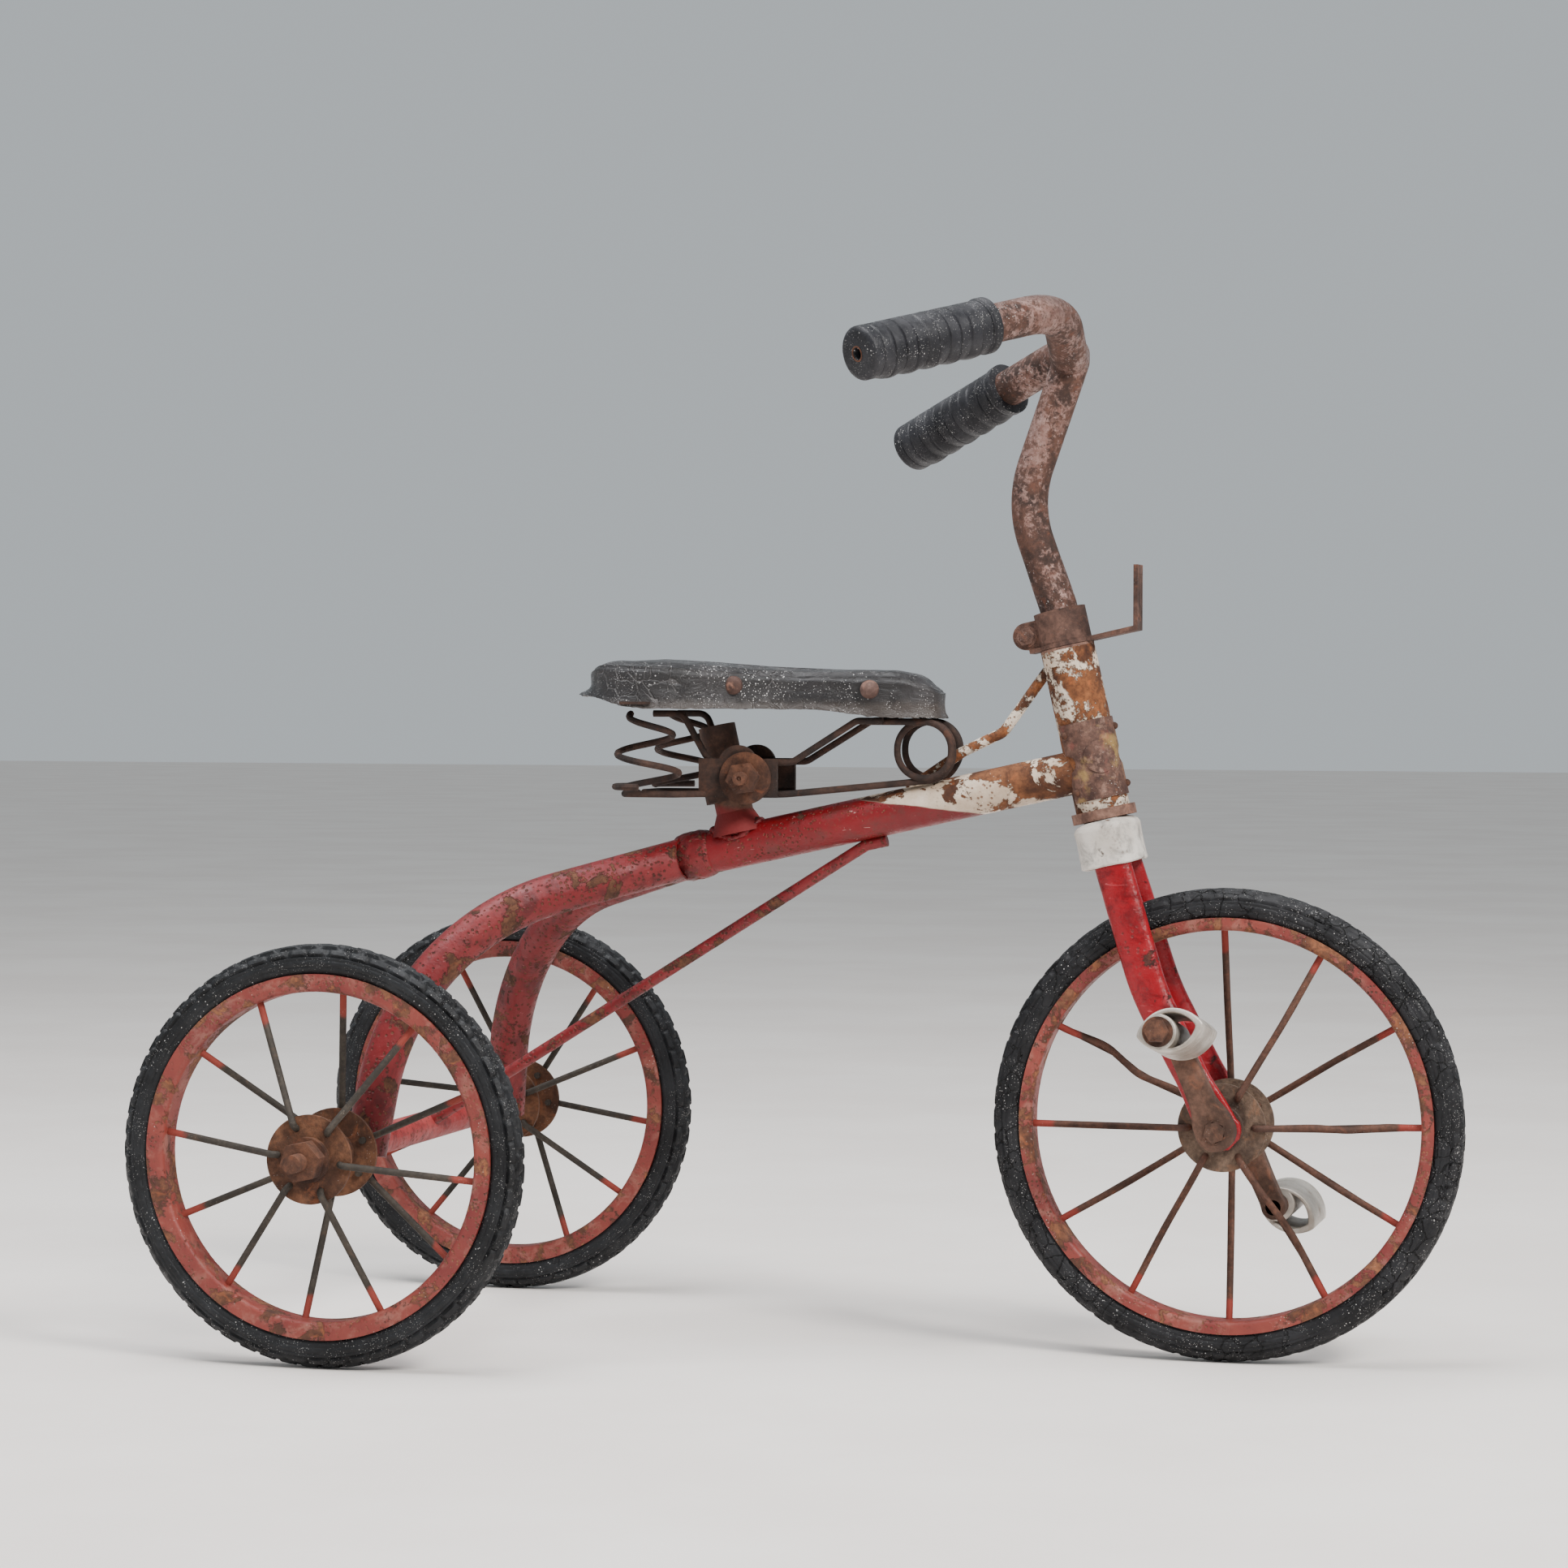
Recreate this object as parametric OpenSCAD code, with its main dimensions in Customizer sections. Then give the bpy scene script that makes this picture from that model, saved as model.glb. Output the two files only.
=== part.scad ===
// Children's tricycle: pedal-driven front wheel, tube frame, sprung saddle.
// The origin is on the ground, halfway along the tricycle. +X is forward, +Y the rider's left.

/* [Wheels] */
// Distance between the front and rear axle lines
wheelbase = 493.5; // [430:0.5:600]
// Diameter over the front tyre
front_tyre_d = 275; // [230:1:330]
// Diameter over each rear tyre
rear_tyre_d = 243; // [205:1:290]
// Distance between the middles of the two rear tyres
rear_track = 332; // [290:1:400]
// Thickness of every tyre
tyre_w = 21; // [17:0.5:25.5]
// How far a tyre stands out of its rim flange
tyre_stand = 17; // [14:0.5:20]
// Thickness of metal under the front tyre
front_rim_base = 3.5; // [2.5:0.1:6]
// Thickness of metal under a rear tyre
rear_rim_base = 6.3; // [2.5:0.1:8]
// Spokes in a wheel, half of them on each hub flange
spoke_count = 12; // [8:2:16]
// Wire thickness of the spokes
spoke_d = 4; // [3:0.1:5]
// Diameter of the hub flanges
flange_d = 51; // [42:1:62]
// Distance between the middles of a rear hub's two flanges
hub_w = 40; // [32:1:48]
// Distance between the middles of the front hub's two flanges
front_hub_w = 33; // [28:1:40]
// Turn of the front wheel's first spoke, in degrees
front_spoke_turn = 1; // [0:1:30]
// Turn of the rear wheels' first spoke, in degrees
rear_spoke_turn = 7; // [0:1:30]

/* [Axles] */
// Diameter of the rear axle
rear_axle_d = 12; // [9:0.5:14.5]
// Diameter of the front axle
front_axle_d = 12; // [9:0.5:14.5]
// Outer diameter of the tube that carries the rear axle
axle_tube_d = 18; // [17:0.5:22]
// Distance over the two ends of the rear axle
rear_axle_len = 428; // [420:1:520]
// Radial clearance of a running fit
run_clear = 0.05; // [0.02:0.01:0.1]
// End play of a part that turns
end_play = 0.3; // [0.2:0.05:0.5]

/* [Steering] */
// Lean of the steering axis back from the vertical
rake = 12.9; // [8:0.1:18]
// Outer diameter of the head tube
head_tube_d = 31.8; // [31.8:0.1:38]
// Height of the head tube's bottom, along the steering axis
head_base = 328; // [300:1:400]
// Length of the head tube
head_tube_len = 95.5; // [80:0.5:116]
// Outer diameter of the steerer tube
steerer_d = 25.4; // [25.4:0.1:26]
// Fore-and-aft size of the fork collar
collar_w = 37; // [34:0.5:44]
// Length of the fork collar along the steering axis
collar_len = 27; // [22:0.5:34]
// Lean of the fork blades' feet back from the vertical
foot_rake = 28; // [22:0.1:32]
// Lean of the fork blades' upper part back from the vertical
blade_rake = 17.3; // [14:0.1:22]
// Length of the fork blades' feet
foot_len = 88; // [74:1:96]
// Width of a fork blade
blade_w = 23; // [18:0.5:26]
// Thickness of a fork blade
blade_t = 9; // [8:0.5:11]
// Gap between the tyre and each fork blade
tyre_gap = 2; // [1.5:0.1:5]

/* [Handlebar] */
// Outer diameter of the stem and the crossbar
bar_d = 22.2; // [20:0.1:22.2]
// Height of the stem's bend
stem_bend_z = 498; // [490:1:560]
// How far the stem's bend stands behind the steering axis
stem_back = 7.5; // [3:0.5:12]
// Lean of the stem's top forward from the vertical
stem_lean = 19; // [8:0.5:24]
// Height of the crossbar's middle
bar_z = 579; // [560:1:660]
// Distance of each grip bend from the middle of the crossbar
bar_reach = 62; // [54:1:75]
// Rise of each grip bend over the middle of the crossbar
bar_rise = 20; // [8:1:32]
// Angle of the grips back from straight sideways
grip_sweep = 48; // [30:1:60]
// Angle of the grips down from level
grip_drop = 17; // [5:1:25]
// Sideways lean of the crossbar, left side down
bar_lean = 6; // [0:0.5:10]
// Turn of the crossbar in its clamp, to the left
bar_turn = 8; // [0:0.5:10]
// Distance from a grip bend to the grip's inner end
grip_start = 56; // [48:1:70]
// Length of a grip
grip_len = 92; // [80:1:112]
// Outer diameter of a grip
grip_d = 31.5; // [28:0.5:36]

/* [Frame] */
// Slope of the main tube
main_slope = 12.6; // [8:0.1:16]
// Height of the main tube's axis over the origin
main_z = 307.6; // [290:0.1:360]
// Outer diameter of the main tube
main_d = 25.4; // [22:0.1:28.6]
// Wall of the frame tubes
wall = 1.6; // [1.2:0.1:2.4]
// Distance of the stay joint behind the origin
joint_back = 82; // [70:1:100]
// Outer diameter of the stays
stay_d = 24.6; // [20:0.1:28]
// Bend radius of the stays
stay_bend = 150; // [100:5:160]
// Diameter of the lower brace rod
lower_brace_d = 7; // [5:0.1:9]
// Diameter of the upper brace rod
upper_brace_d = 6.3; // [5:0.1:8]

/* [Cranks] */
// Distance from the front axle to a pedal spindle
crank_len = 56; // [47:1:70]
// Lean of the right crank back from straight up
crank_lean = 24; // [0:1:90]
// Thickness of a crank
crank_t = 12; // [9:0.5:15]
// Length of a pedal along its spindle
pedal_len = 52; // [42:1:64]
// Length of a pedal across its spindle
pedal_w = 38; // [36:1:50]
// Height of a pedal
pedal_h = 25; // [23:0.5:32]
// Wall of the pedal casting
pedal_wall = 3.2; // [2.4:0.1:4.5]
// Diameter of a pedal spindle
spindle_d = 9; // [7:0.5:10.5]
// Tilt of the right pedal, front edge up
right_pedal_tilt = 12; // [-40:1:40]
// Upward lean of the right pedal's spindle, which is bent
spindle_lean = 10; // [0:1:12]
// Tilt of the left pedal, front edge up
left_pedal_tilt = -32; // [-40:1:40]

/* [Saddle] */
// Outer diameter of the seat post
post_d = 22.2; // [20:0.1:25.4]
// Height of the seat post over the main tube's axis
post_len = 73; // [66:1:95]
// Distance of the seat post's foot behind the origin
post_back = 53; // [40:1:60]
// Wire thickness of the saddle rails and springs
wire_d = 4; // [3.2:0.1:4.8]
// Distance between the saddle rails at the clamp
rail_gap = 34; // [33:1:40]
// Diameter of the front spring coils, over the middle of the wire
coil_d = 33; // [28:1:34]
// Diameter of the rear springs at their widest, over the middle of the wire
rear_spring_d = 38; // [30:1:44]
// Distance between the two rear springs
rear_spring_gap = 80; // [70:1:92]
// Length of the saddle
saddle_len = 212; // [190:1:255]
// Width of the saddle at the back
saddle_w = 150; // [140:1:180]
// Width of the saddle's nose
nose_w = 56; // [52:1:80]
// Height of the saddle's top over the ground
saddle_z = 405.5; // [400:1:486]
// Height of the saddle's side wall
saddle_side = 25; // [21:0.5:30]
// Thickness of the saddle cover
cover_t = 3; // [2:0.2:4]

/* [Hidden] */
sides = ["right", "left"];
$fn = 48;
eps = 0.02;
far = 1000;

// Colours
red_paint = [0.66, 0.1, 0.1];
cream_paint = [0.86, 0.82, 0.72];
rust = [0.36, 0.22, 0.15];
dark_rust = [0.25, 0.17, 0.13];
black_rubber = [0.1, 0.1, 0.11];
cast_alloy = [0.8, 0.79, 0.75];

// Places along the tricycle
front_r = front_tyre_d / 2;
rear_r = rear_tyre_d / 2;
total_len = rear_r + wheelbase + front_r;
front_x = total_len / 2 - front_r;
rear_x = rear_r - total_len / 2;
rear_y = rear_track / 2;
fine = 96;

// Hub
flange_t = 2.4;
hub_boss = 3;
hub_boss_d = 30;
barrel_d = 24;
hub_half = hub_w / 2 + hub_boss;
head_room = 0.7;
front_boss = flange_t / 2 + 1.2 + spoke_d + head_room;
front_hub_half = front_hub_w / 2 + front_boss;
spoke_hole_r = flange_d / 2 - 6.5;

// Fork, from the middle outwards
blade_tab_t = 6;
blade_tab_d = 26;
blade_in = front_hub_half + end_play;
bush_d = front_axle_d + 5;
crank_in = blade_in + blade_tab_t + 2;
crank_out = crank_in + crank_t;
spindle_seat = 3;
pedal_in = crank_out + 5.2;
spindle_end = pedal_in + pedal_len + end_play;

// Steering axis, as distances from the ground along it
head_top = head_base + head_tube_len;
head_bore_d = head_tube_d - 4;
cup_flange_d = head_tube_d + 6;
cup_flange_t = 6;
collar_top = head_base - cup_flange_t - end_play;
collar_base = collar_top - collar_len;
collar_half_y = blade_in + 2;
bracket_t = 2.5;
clamp_base = head_top + 1.5 + end_play + bracket_t;
clamp_h = 19;
clamp_wall = 2.6;
clamp_ear_x = -(steerer_d / 2 + 8.5);
clamp_ear_r = 8;
clamp_slit = 3;
clamp_ear_t = 5;
stem_inset = 52;

// Seat post, clamp and rails
post_slant = main_slope;
post_foot = [-post_back, 0, main_z - post_back * tan(main_slope)];
post_dir = [-sin(post_slant), 0, cos(post_slant)];
clamp_at = 37.8;
clamp_len = 20;
bolt_d = 8;
bolt_ahead = 17;
cheek_t = 3;
rail_y = rail_gap / 2;
block_half = rail_y - wire_d / 2 - 0.1;
cheek_in = rail_y + wire_d / 2 + 0.1;
bolt_p = post_foot + clamp_at * post_dir + bolt_ahead * [cos(post_slant), 0, sin(post_slant)];
rail_drop = 9.5;
rail_lift = 9.5;
coil_p = [61, 0, bolt_p.z + 17.2];
coil_y = 7;
rear_spring_x = -100;
rear_spring_base = bolt_p.z - rail_drop;
pan_gap = 0.4;
pan_t = 1.2;
saddle_front = 71;
saddle_back = saddle_front - saddle_len;
saddle_mid = (saddle_front + saddle_back) / 2;

// ---------- helpers ----------
function unit(v) = v / norm(v);
function flip(v, side) = [v.x, v.y * side, v.z];
function side_of(name) = name == "right" ? -1 : 1;
function axis_point(s) = [front_x - s * sin(rake), 0, s * cos(rake)];
function main_point(x) = [x, 0, main_z + x * tan(main_slope)];

// Turns the child's +Z to point along v
module aim(v) {
    rotate([0, acos(v.z / norm(v)), atan2(v.y, v.x)]) children();
}

// A straight round rod between two points
module rod(p, q, d) {
    translate(p) aim(q - p) cylinder(h = norm(q - p), d = d);
}

// How much of a corner's two legs its bend takes up
function bend_leg(pts, i, r) =
    let (a = unit(pts[i] - pts[i - 1]), b = unit(pts[i + 1] - pts[i]))
    r * tan(acos(a * b) / 2);

// The true arc that rounds corner i of a route. It is a hair thicker than the straight
// pieces, which run a little way into it, so that the pieces always join
bend_step = 0.012;
bend_lap = 0.15;
module bend(pts, i, r, d) {
    a = unit(pts[i] - pts[i - 1]);
    b = unit(pts[i + 1] - pts[i]);
    n = unit(b - (a * b) * a);
    z = cross(-n, a);
    c = pts[i] - bend_leg(pts, i, r) * a + r * n;
    multmatrix([
        [-n.x, a.x, z.x, c.x],
        [-n.y, a.y, z.y, c.y],
        [-n.z, a.z, z.z, c.z],
        [0, 0, 0, 1]
    ])
        rotate_extrude(angle = acos(a * b), $fn = fine)
            translate([r, 0]) circle(d = d + 2 * bend_step);
}

// A round rod along a route, with one bend radius for each inner corner
module bent_rod(pts, radii, d, ends = 0) {
    last = len(pts) - 1;
    for (i = [0:last - 1]) {
        u = unit(pts[i + 1] - pts[i]);
        from = i == 0 ? pts[0] - ends * u
            : pts[i] + (bend_leg(pts, i, radii[i - 1]) - bend_lap) * u;
        to = i == last - 1 ? pts[last] + ends * u
            : pts[i + 1] - (bend_leg(pts, i + 1, radii[i]) - bend_lap) * u;
        rod(from, to, d);
    }
    for (i = [1:1:last - 1]) bend(pts, i, radii[i - 1], d);
}

// A hollow tube along a route, open at both ends
module bent_tube(pts, radii, d, t) {
    difference() {
        bent_rod(pts, radii, d);
        bent_rod(pts, radii, d - 2 * t, 1);
    }
}

// A flat outline with two round ends, a long and b wide
module slot_2d(a, b) {
    square([a - b, b], center = true);
    for (s = [-1, 1]) translate([s * (a - b) / 2, 0]) circle(d = b);
}

// Stands the child's +Z along the steering axis, with its origin on the ground
module on_steering() {
    translate([front_x, 0, 0]) rotate([0, -rake, 0]) children();
}

// Puts a child made about the Z axis on a wheel's axle line
module on_axle(x, y, z) {
    translate([x, y, z]) rotate([90, 0, 0]) children();
}

// A hexagonal prism from its width across flats
module hex(af, h) {
    cylinder(h = h, d = af / cos(30), $fn = 6);
}

// ---------- wheels ----------
function rim_inner(r, base) = r - tyre_w - base;
rim_half_w = sqrt(pow(tyre_w / 2, 2) - pow(tyre_stand - tyre_w / 2, 2)) + 1.8;

module tyre(r) {
    color(black_rubber)
        rotate_extrude($fn = fine) translate([r - tyre_w / 2, 0]) circle(d = tyre_w);
}

module rim(r, base) {
    low = rim_inner(r, base);
    corner = 3;
    color(red_paint)
        rotate_extrude($fn = fine) difference() {
            union() {
                translate([low + corner, -rim_half_w])
                    square([r - tyre_stand - low - corner, 2 * rim_half_w]);
                translate([low, corner - rim_half_w])
                    square([corner + eps, 2 * (rim_half_w - corner)]);
                for (s = [-1, 1])
                    translate([low + corner, s * (rim_half_w - corner)]) circle(r = corner);
            }
            translate([r - tyre_w / 2, 0]) circle(d = tyre_w);
        }
}

module spoke(r_end, side, w) {
    face = w / 2 + flange_t / 2;
    points = [
        [spoke_hole_r, 0, side * (face - flange_t - 2)],
        [spoke_hole_r, 0, side * (face + 1.2 + spoke_d / 2)],
        [r_end, 0, side * 2.5]
    ];
    bent_rod(points, [spoke_d * 0.8], spoke_d);
}

module spokes(r, base, turn, w) {
    color(rust)
        for (i = [0:spoke_count - 1])
            rotate([0, 0, turn + i * 360 / spoke_count])
                spoke(rim_inner(r, base) + 2, i % 2 == 0 ? 1 : -1, w);
}

module hub(bore_d, turn, w, boss) {
    half = w / 2 + boss;
    color(rust)
        difference() {
            union() {
                cylinder(h = 2 * half, d = barrel_d, center = true);
                for (s = [-1, 1]) {
                    translate([0, 0, s * w / 2])
                        cylinder(h = flange_t, d = flange_d, center = true, $fn = fine);
                    translate([0, 0, s * (half - boss / 2)])
                        cylinder(h = boss, d = hub_boss_d - 4, center = true);
                }
            }
            cylinder(h = far, d = bore_d, center = true);
            for (i = [0:spoke_count - 1])
                rotate([0, 0, turn + i * 360 / spoke_count])
                    translate([spoke_hole_r, 0, (i % 2 == 0 ? 1 : -1) * w / 2])
                        cylinder(h = flange_t + 3, d = spoke_d + 0.1, center = true);
        }
}

module front_wheel_place() {
    on_axle(front_x, 0, front_r) children();
}

// side is -1 for the right wheel; its first flange always faces outwards
module rear_wheel_place(side) {
    translate([rear_x, side * rear_y, rear_r]) rotate([side * -90, 0, 0])
        mirror([0, side > 0 ? 1 : 0, 0]) children();
}

// ---------- frame ----------
module head_tube() {
    color(cream_paint)
        on_steering() translate([0, 0, head_base]) difference() {
            cylinder(h = head_tube_len, d = head_tube_d);
            translate([0, 0, -1]) cylinder(h = head_tube_len + 2, d = head_bore_d);
        }
}

// A bush with a flange outside the tube and a spigot inside it
module head_cup(flange_d, flange_t, spigot) {
    difference() {
        union() {
            translate([0, 0, -flange_t]) cylinder(h = flange_t, d = flange_d);
            cylinder(h = spigot, d = head_bore_d);
        }
        translate([0, 0, -flange_t - 1])
            cylinder(h = flange_t + spigot + 2, d = steerer_d + 2 * run_clear);
    }
}

module head_cup_lower() {
    color(rust) on_steering() translate([0, 0, head_base]) head_cup(cup_flange_d, cup_flange_t, 12);
}

module head_cup_upper() {
    color(rust)
        on_steering() translate([0, 0, head_top]) mirror([0, 0, 1])
            head_cup(head_tube_d, 1.5, 12);
}

// A plain name plate with a blank round boss, wrapped round the head tube
badge_turn = -62;
badge_half = 78;
badge_t = 1;
badge_h = 46;
badge_base = head_base + 6;
module head_badge() {
    color([0.3, 0.2, 0.16])
        on_steering() translate([0, 0, badge_base]) rotate([0, 0, badge_turn]) {
            difference() {
                rotate([0, 0, -badge_half])
                    rotate_extrude(angle = 2 * badge_half, $fn = fine)
                        translate([head_tube_d / 2, 0]) square([badge_t, badge_h]);
                for (s = [-1, 1])
                    translate([0, s * head_tube_d * 0.62, badge_h / 2]) rotate([0, 90, 0])
                        cylinder(h = far, d = 13);
            }
            intersection() {
                translate([0, 0, badge_h * 0.52]) rotate([0, 90, 0]) cylinder(h = 40, d = 19);
                difference() {
                    cylinder(h = badge_h, d = head_tube_d + 2 * badge_t + 1.6);
                    translate([0, 0, -1]) cylinder(h = badge_h + 2, d = head_tube_d + badge_t);
                }
            }
        }
}

module badge_rivets() {
    color(dark_rust)
        on_steering() for (s = [-1, 1], z = [6, badge_h - 6])
            translate([0, 0, badge_base + z]) rotate([0, 0, badge_turn + s * (badge_half - 12)])
                translate([head_tube_d / 2 + badge_t, 0, 0]) difference() {
                    sphere(d = 4.4);
                    translate([-10, -5, -5]) cube([10, 10, 10]);
                }
}

main_front = main_point(axis_point(head_base + 30).x);
main_rear = main_point(-joint_back);
main_dir = unit(main_front - main_rear);
sleeve_len = 11;
sleeve_t = 2;

module main_tube() {
    color(red_paint)
        difference() {
            rod(main_rear, main_point(front_x), main_d);
            rod(main_rear - 5 * main_dir, main_point(front_x), main_d - 2 * wall);
            on_steering() cylinder(h = far, d = head_tube_d);
            translate(axis_point(head_base)) rotate([0, -rake, 0])
                translate([0, -100, -200]) cube([300, 200, 600]);
        }
}

module joint_sleeve() {
    color(red_paint)
        difference() {
            rod(main_rear - sleeve_len / 2 * main_dir, main_rear + sleeve_len / 2 * main_dir,
                main_d + 2 * sleeve_t);
            rod(main_rear, main_rear + sleeve_len * main_dir, main_d);
        }
}

// Each stay runs back and out from the joint, then bends down to the axle
function stay_route(side) = [
    flip(main_rear + [0, 4, 0], side),
    [rear_x + 26, side * (rear_y - 68), rear_r + 123.5],
    [rear_x + 10, side * (rear_y - 42), rear_r - 3]
];

module stay(side) {
    color(red_paint)
        difference() {
            bent_tube(stay_route(side), [stay_bend], stay_d, wall);
            translate([-far / 2, side > 0 ? -far : 0, 0]) cube([far, far, far]);
            translate(main_rear - sleeve_len / 2 * main_dir) rotate([0, -main_slope, 0])
                translate([0, -50, -50]) cube([100, 100, 100]);
            on_axle(rear_x, 0, rear_r) cylinder(h = far, d = axle_tube_d, center = true);
        }
}

axle_tube_half = rear_y - hub_half - end_play - 1.5;
washer_out = 2;
nut_h = 10.5;
nut_at = rear_y + hub_half + end_play + washer_out;
module axle_tube() {
    color(red_paint)
        on_axle(rear_x, 0, rear_r) difference() {
            cylinder(h = 2 * axle_tube_half, d = axle_tube_d, center = true);
            cylinder(h = far, d = rear_axle_d + 0.4, center = true);
        }
}

module rear_axle() {
    color(rust)
        on_axle(rear_x, 0, rear_r) {
            cylinder(h = 2 * (nut_at + nut_h), d = rear_axle_d, center = true);
            cylinder(h = rear_axle_len, d = rear_axle_d - 1.6, center = true);
        }
}

module axle_washers() {
    color(rust)
        for (s = [-1, 1])
            translate([rear_x, 0, rear_r]) rotate([s * -90, 0, 0]) {
                translate([0, 0, axle_tube_half]) washer(20, 1.5, rear_axle_d);
                translate([0, 0, rear_y + hub_half + end_play])
                    washer(26, washer_out, rear_axle_d);
            }
}

module washer(d, t, bore) {
    difference() {
        cylinder(h = t, d = d);
        translate([0, 0, -1]) cylinder(h = t + 2, d = bore);
    }
}

module axle_nuts() {
    color(rust)
        for (s = [-1, 1])
            translate([rear_x, 0, rear_r]) rotate([s * -90, 0, 0])
                translate([0, 0, nut_at]) difference() {
                    rotate([0, 0, 12]) hex(21, nut_h);
                    translate([0, 0, -1]) cylinder(h = 20, d = rear_axle_d);
                }
}

// The lower brace: a rod from a lug under the main tube to the middle of the axle tube
brace_top = main_point(23.5) - [0, 0, main_d / 2 + 3.2];
module lower_brace() {
    foot = [rear_x + 6, 0, rear_r + 4];
    color(red_paint)
        difference() {
            union() {
                rod(brace_top, foot, lower_brace_d);
                rod(brace_top, brace_top + 13 * main_dir, lower_brace_d);
                translate(brace_top) sphere(d = lower_brace_d);
            }
            on_axle(rear_x, 0, rear_r) cylinder(h = 60, d = axle_tube_d, center = true);
            rod(main_rear, main_front, main_d);
        }
}

// The upper brace: a bent rod from the back of the head tube to the main tube
module upper_brace() {
    top = axis_point(head_top - 13) - [head_tube_d / 2 - 1, 0, 0];
    foot = main_point(49) + [0, 0, main_d / 2 - 1];
    color(cream_paint)
        difference() {
            bent_rod([top, [top.x - 26, 0, top.z - 36], [top.x - 51, 0, top.z - 48], foot],
                [10, 12], upper_brace_d);
            on_steering() cylinder(h = far, d = head_tube_d);
            rod(main_rear, main_point(front_x), main_d);
        }
}

module seat_post() {
    color(red_paint)
        difference() {
            union() {
                rod(post_foot, post_foot + post_len * post_dir, post_d);
                translate(post_foot) rotate([0, -post_slant, 0])
                    translate([0, 0, main_d / 2 - 5])
                        cylinder(h = 13, d1 = post_d + 12, d2 = post_d);
            }
            rod(post_foot + (main_d / 2 + 2) * post_dir, post_foot + 2 * post_len * post_dir,
                post_d - 2 * wall);
            rod(main_rear - 60 * main_dir, main_front, main_d);
            translate(post_foot) rotate([0, -post_slant, 0])
                translate([-50, -50, -100]) cube([100, 100, 100]);
        }
}

// ---------- fork ----------
module steerer() {
    top = clamp_base + clamp_h;
    color(rust)
        on_steering() difference() {
            translate([0, 0, collar_base + 12]) cylinder(h = top - collar_base - 12, d = steerer_d);
            translate([0, 0, collar_base + 18]) cylinder(h = far, d = bar_d + 2 * run_clear);
            translate([-far, -1, top - 26]) cube([far, 2, 40]);
        }
}

module fork_collar() {
    color(cream_paint)
        on_steering() translate([0, 0, collar_base]) difference() {
            union() {
                linear_extrude(collar_len - 4) rotate(90)
                    slot_2d(2 * collar_half_y, collar_w);
                translate([0, 0, collar_len - 4 - eps]) linear_extrude(4 + eps) rotate(90)
                    slot_2d(2 * collar_half_y - 4, collar_w - 4);
            }
            translate([0, 0, 12]) cylinder(h = far, d = steerer_d);
        }
}

// The blade's foot: +Z up the foot from the axle, still square to the axle
module on_foot() {
    translate([front_x, 0, front_r]) rotate([0, -foot_rake, 0]) children();
}

tab_mid = blade_in + blade_tab_t / 2;
crown_mid = tyre_w / 2 + tyre_gap + blade_t / 2;
blade_splay = 7;
blade_foot = [
    front_x - foot_len * sin(foot_rake), -(crown_mid + blade_splay),
    front_r + foot_len * cos(foot_rake)
];
blade_rise = collar_base * cos(rake) + 12 - blade_foot.z;
blade_head = blade_foot + [-blade_rise * tan(blade_rake), blade_splay, blade_rise];

module blade() {
    difference() {
        union() {
            hull() {
                on_foot() translate([0, -tab_mid, 24])
                    cube([blade_tab_d - 2.1, blade_tab_t - 0.1, 1], center = true);
                translate(blade_foot) blade_aim() linear_extrude(1)
                    slot_2d(blade_w - 0.1, blade_t - 0.1, $fn = 32);
            }
            translate(blade_foot) blade_aim() linear_extrude(norm(blade_head - blade_foot))
                slot_2d(blade_w, blade_t);
            on_foot() translate([0, -tab_mid, 12.8])
                cube([blade_tab_d - 2, blade_tab_t, 25.6], center = true);
            on_axle(front_x, -tab_mid, front_r)
                cylinder(h = blade_tab_t, d = blade_tab_d, center = true);
        }
        on_axle(front_x, 0, front_r) cylinder(h = 100, d = bush_d);
    }
}

// Leans the blade's tube back and in, with its wide side kept fore and aft
module blade_aim() {
    v = blade_head - blade_foot;
    rotate([-asin(v.y / norm(v)), -blade_rake, 0]) children();
}

module blade_right() {
    color(red_paint) blade();
}

module blade_left() {
    color(red_paint) mirror([0, 1, 0]) blade();
}

module axle_bushes() {
    color(dark_rust)
        for (s = [-1, 1])
            on_axle(front_x, s * tab_mid, front_r) difference() {
                cylinder(h = blade_tab_t, d = bush_d, center = true);
                cylinder(h = 20, d = front_axle_d + 2 * run_clear, center = true);
            }
}

module stem_clamp() {
    color(rust)
        on_steering() translate([0, 0, clamp_base]) difference() {
            union() {
                cylinder(h = clamp_h, d = steerer_d + 2 * clamp_wall);
                for (s = [-1, 1])
                    translate([0, s * (clamp_slit + clamp_ear_t) / 2, 0]) {
                        translate([clamp_ear_x, 0, clamp_ear_r]) rotate([90, 0, 0])
                            cylinder(h = clamp_ear_t, r = clamp_ear_r, center = true);
                        translate([clamp_ear_x, -clamp_ear_t / 2, 0])
                            cube([-clamp_ear_x, clamp_ear_t, 2 * clamp_ear_r]);
                    }
            }
            translate([0, 0, -1]) cylinder(h = clamp_h + 2, d = steerer_d);
            translate([-far, -clamp_slit / 2, -1]) cube([far, clamp_slit, clamp_h + 2]);
            translate([clamp_ear_x, 0, clamp_ear_r]) rotate([90, 0, 0])
                cylinder(h = 40, d = 6, center = true);
        }
}

module clamp_bolt() {
    ear_out = clamp_slit / 2 + clamp_ear_t;
    color(dark_rust)
        on_steering() translate([clamp_ear_x, 0, clamp_base + clamp_ear_r]) rotate([90, 0, 0]) {
            cylinder(h = 2 * ear_out + 9, d = 5.9, center = true);
            translate([0, 0, ear_out]) cylinder(h = 1, d = 13);
            translate([0, 0, ear_out + 1 - eps]) hex(9.5, 3);
            translate([0, 0, -ear_out - 4]) hex(10, 4);
        }
}

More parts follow.
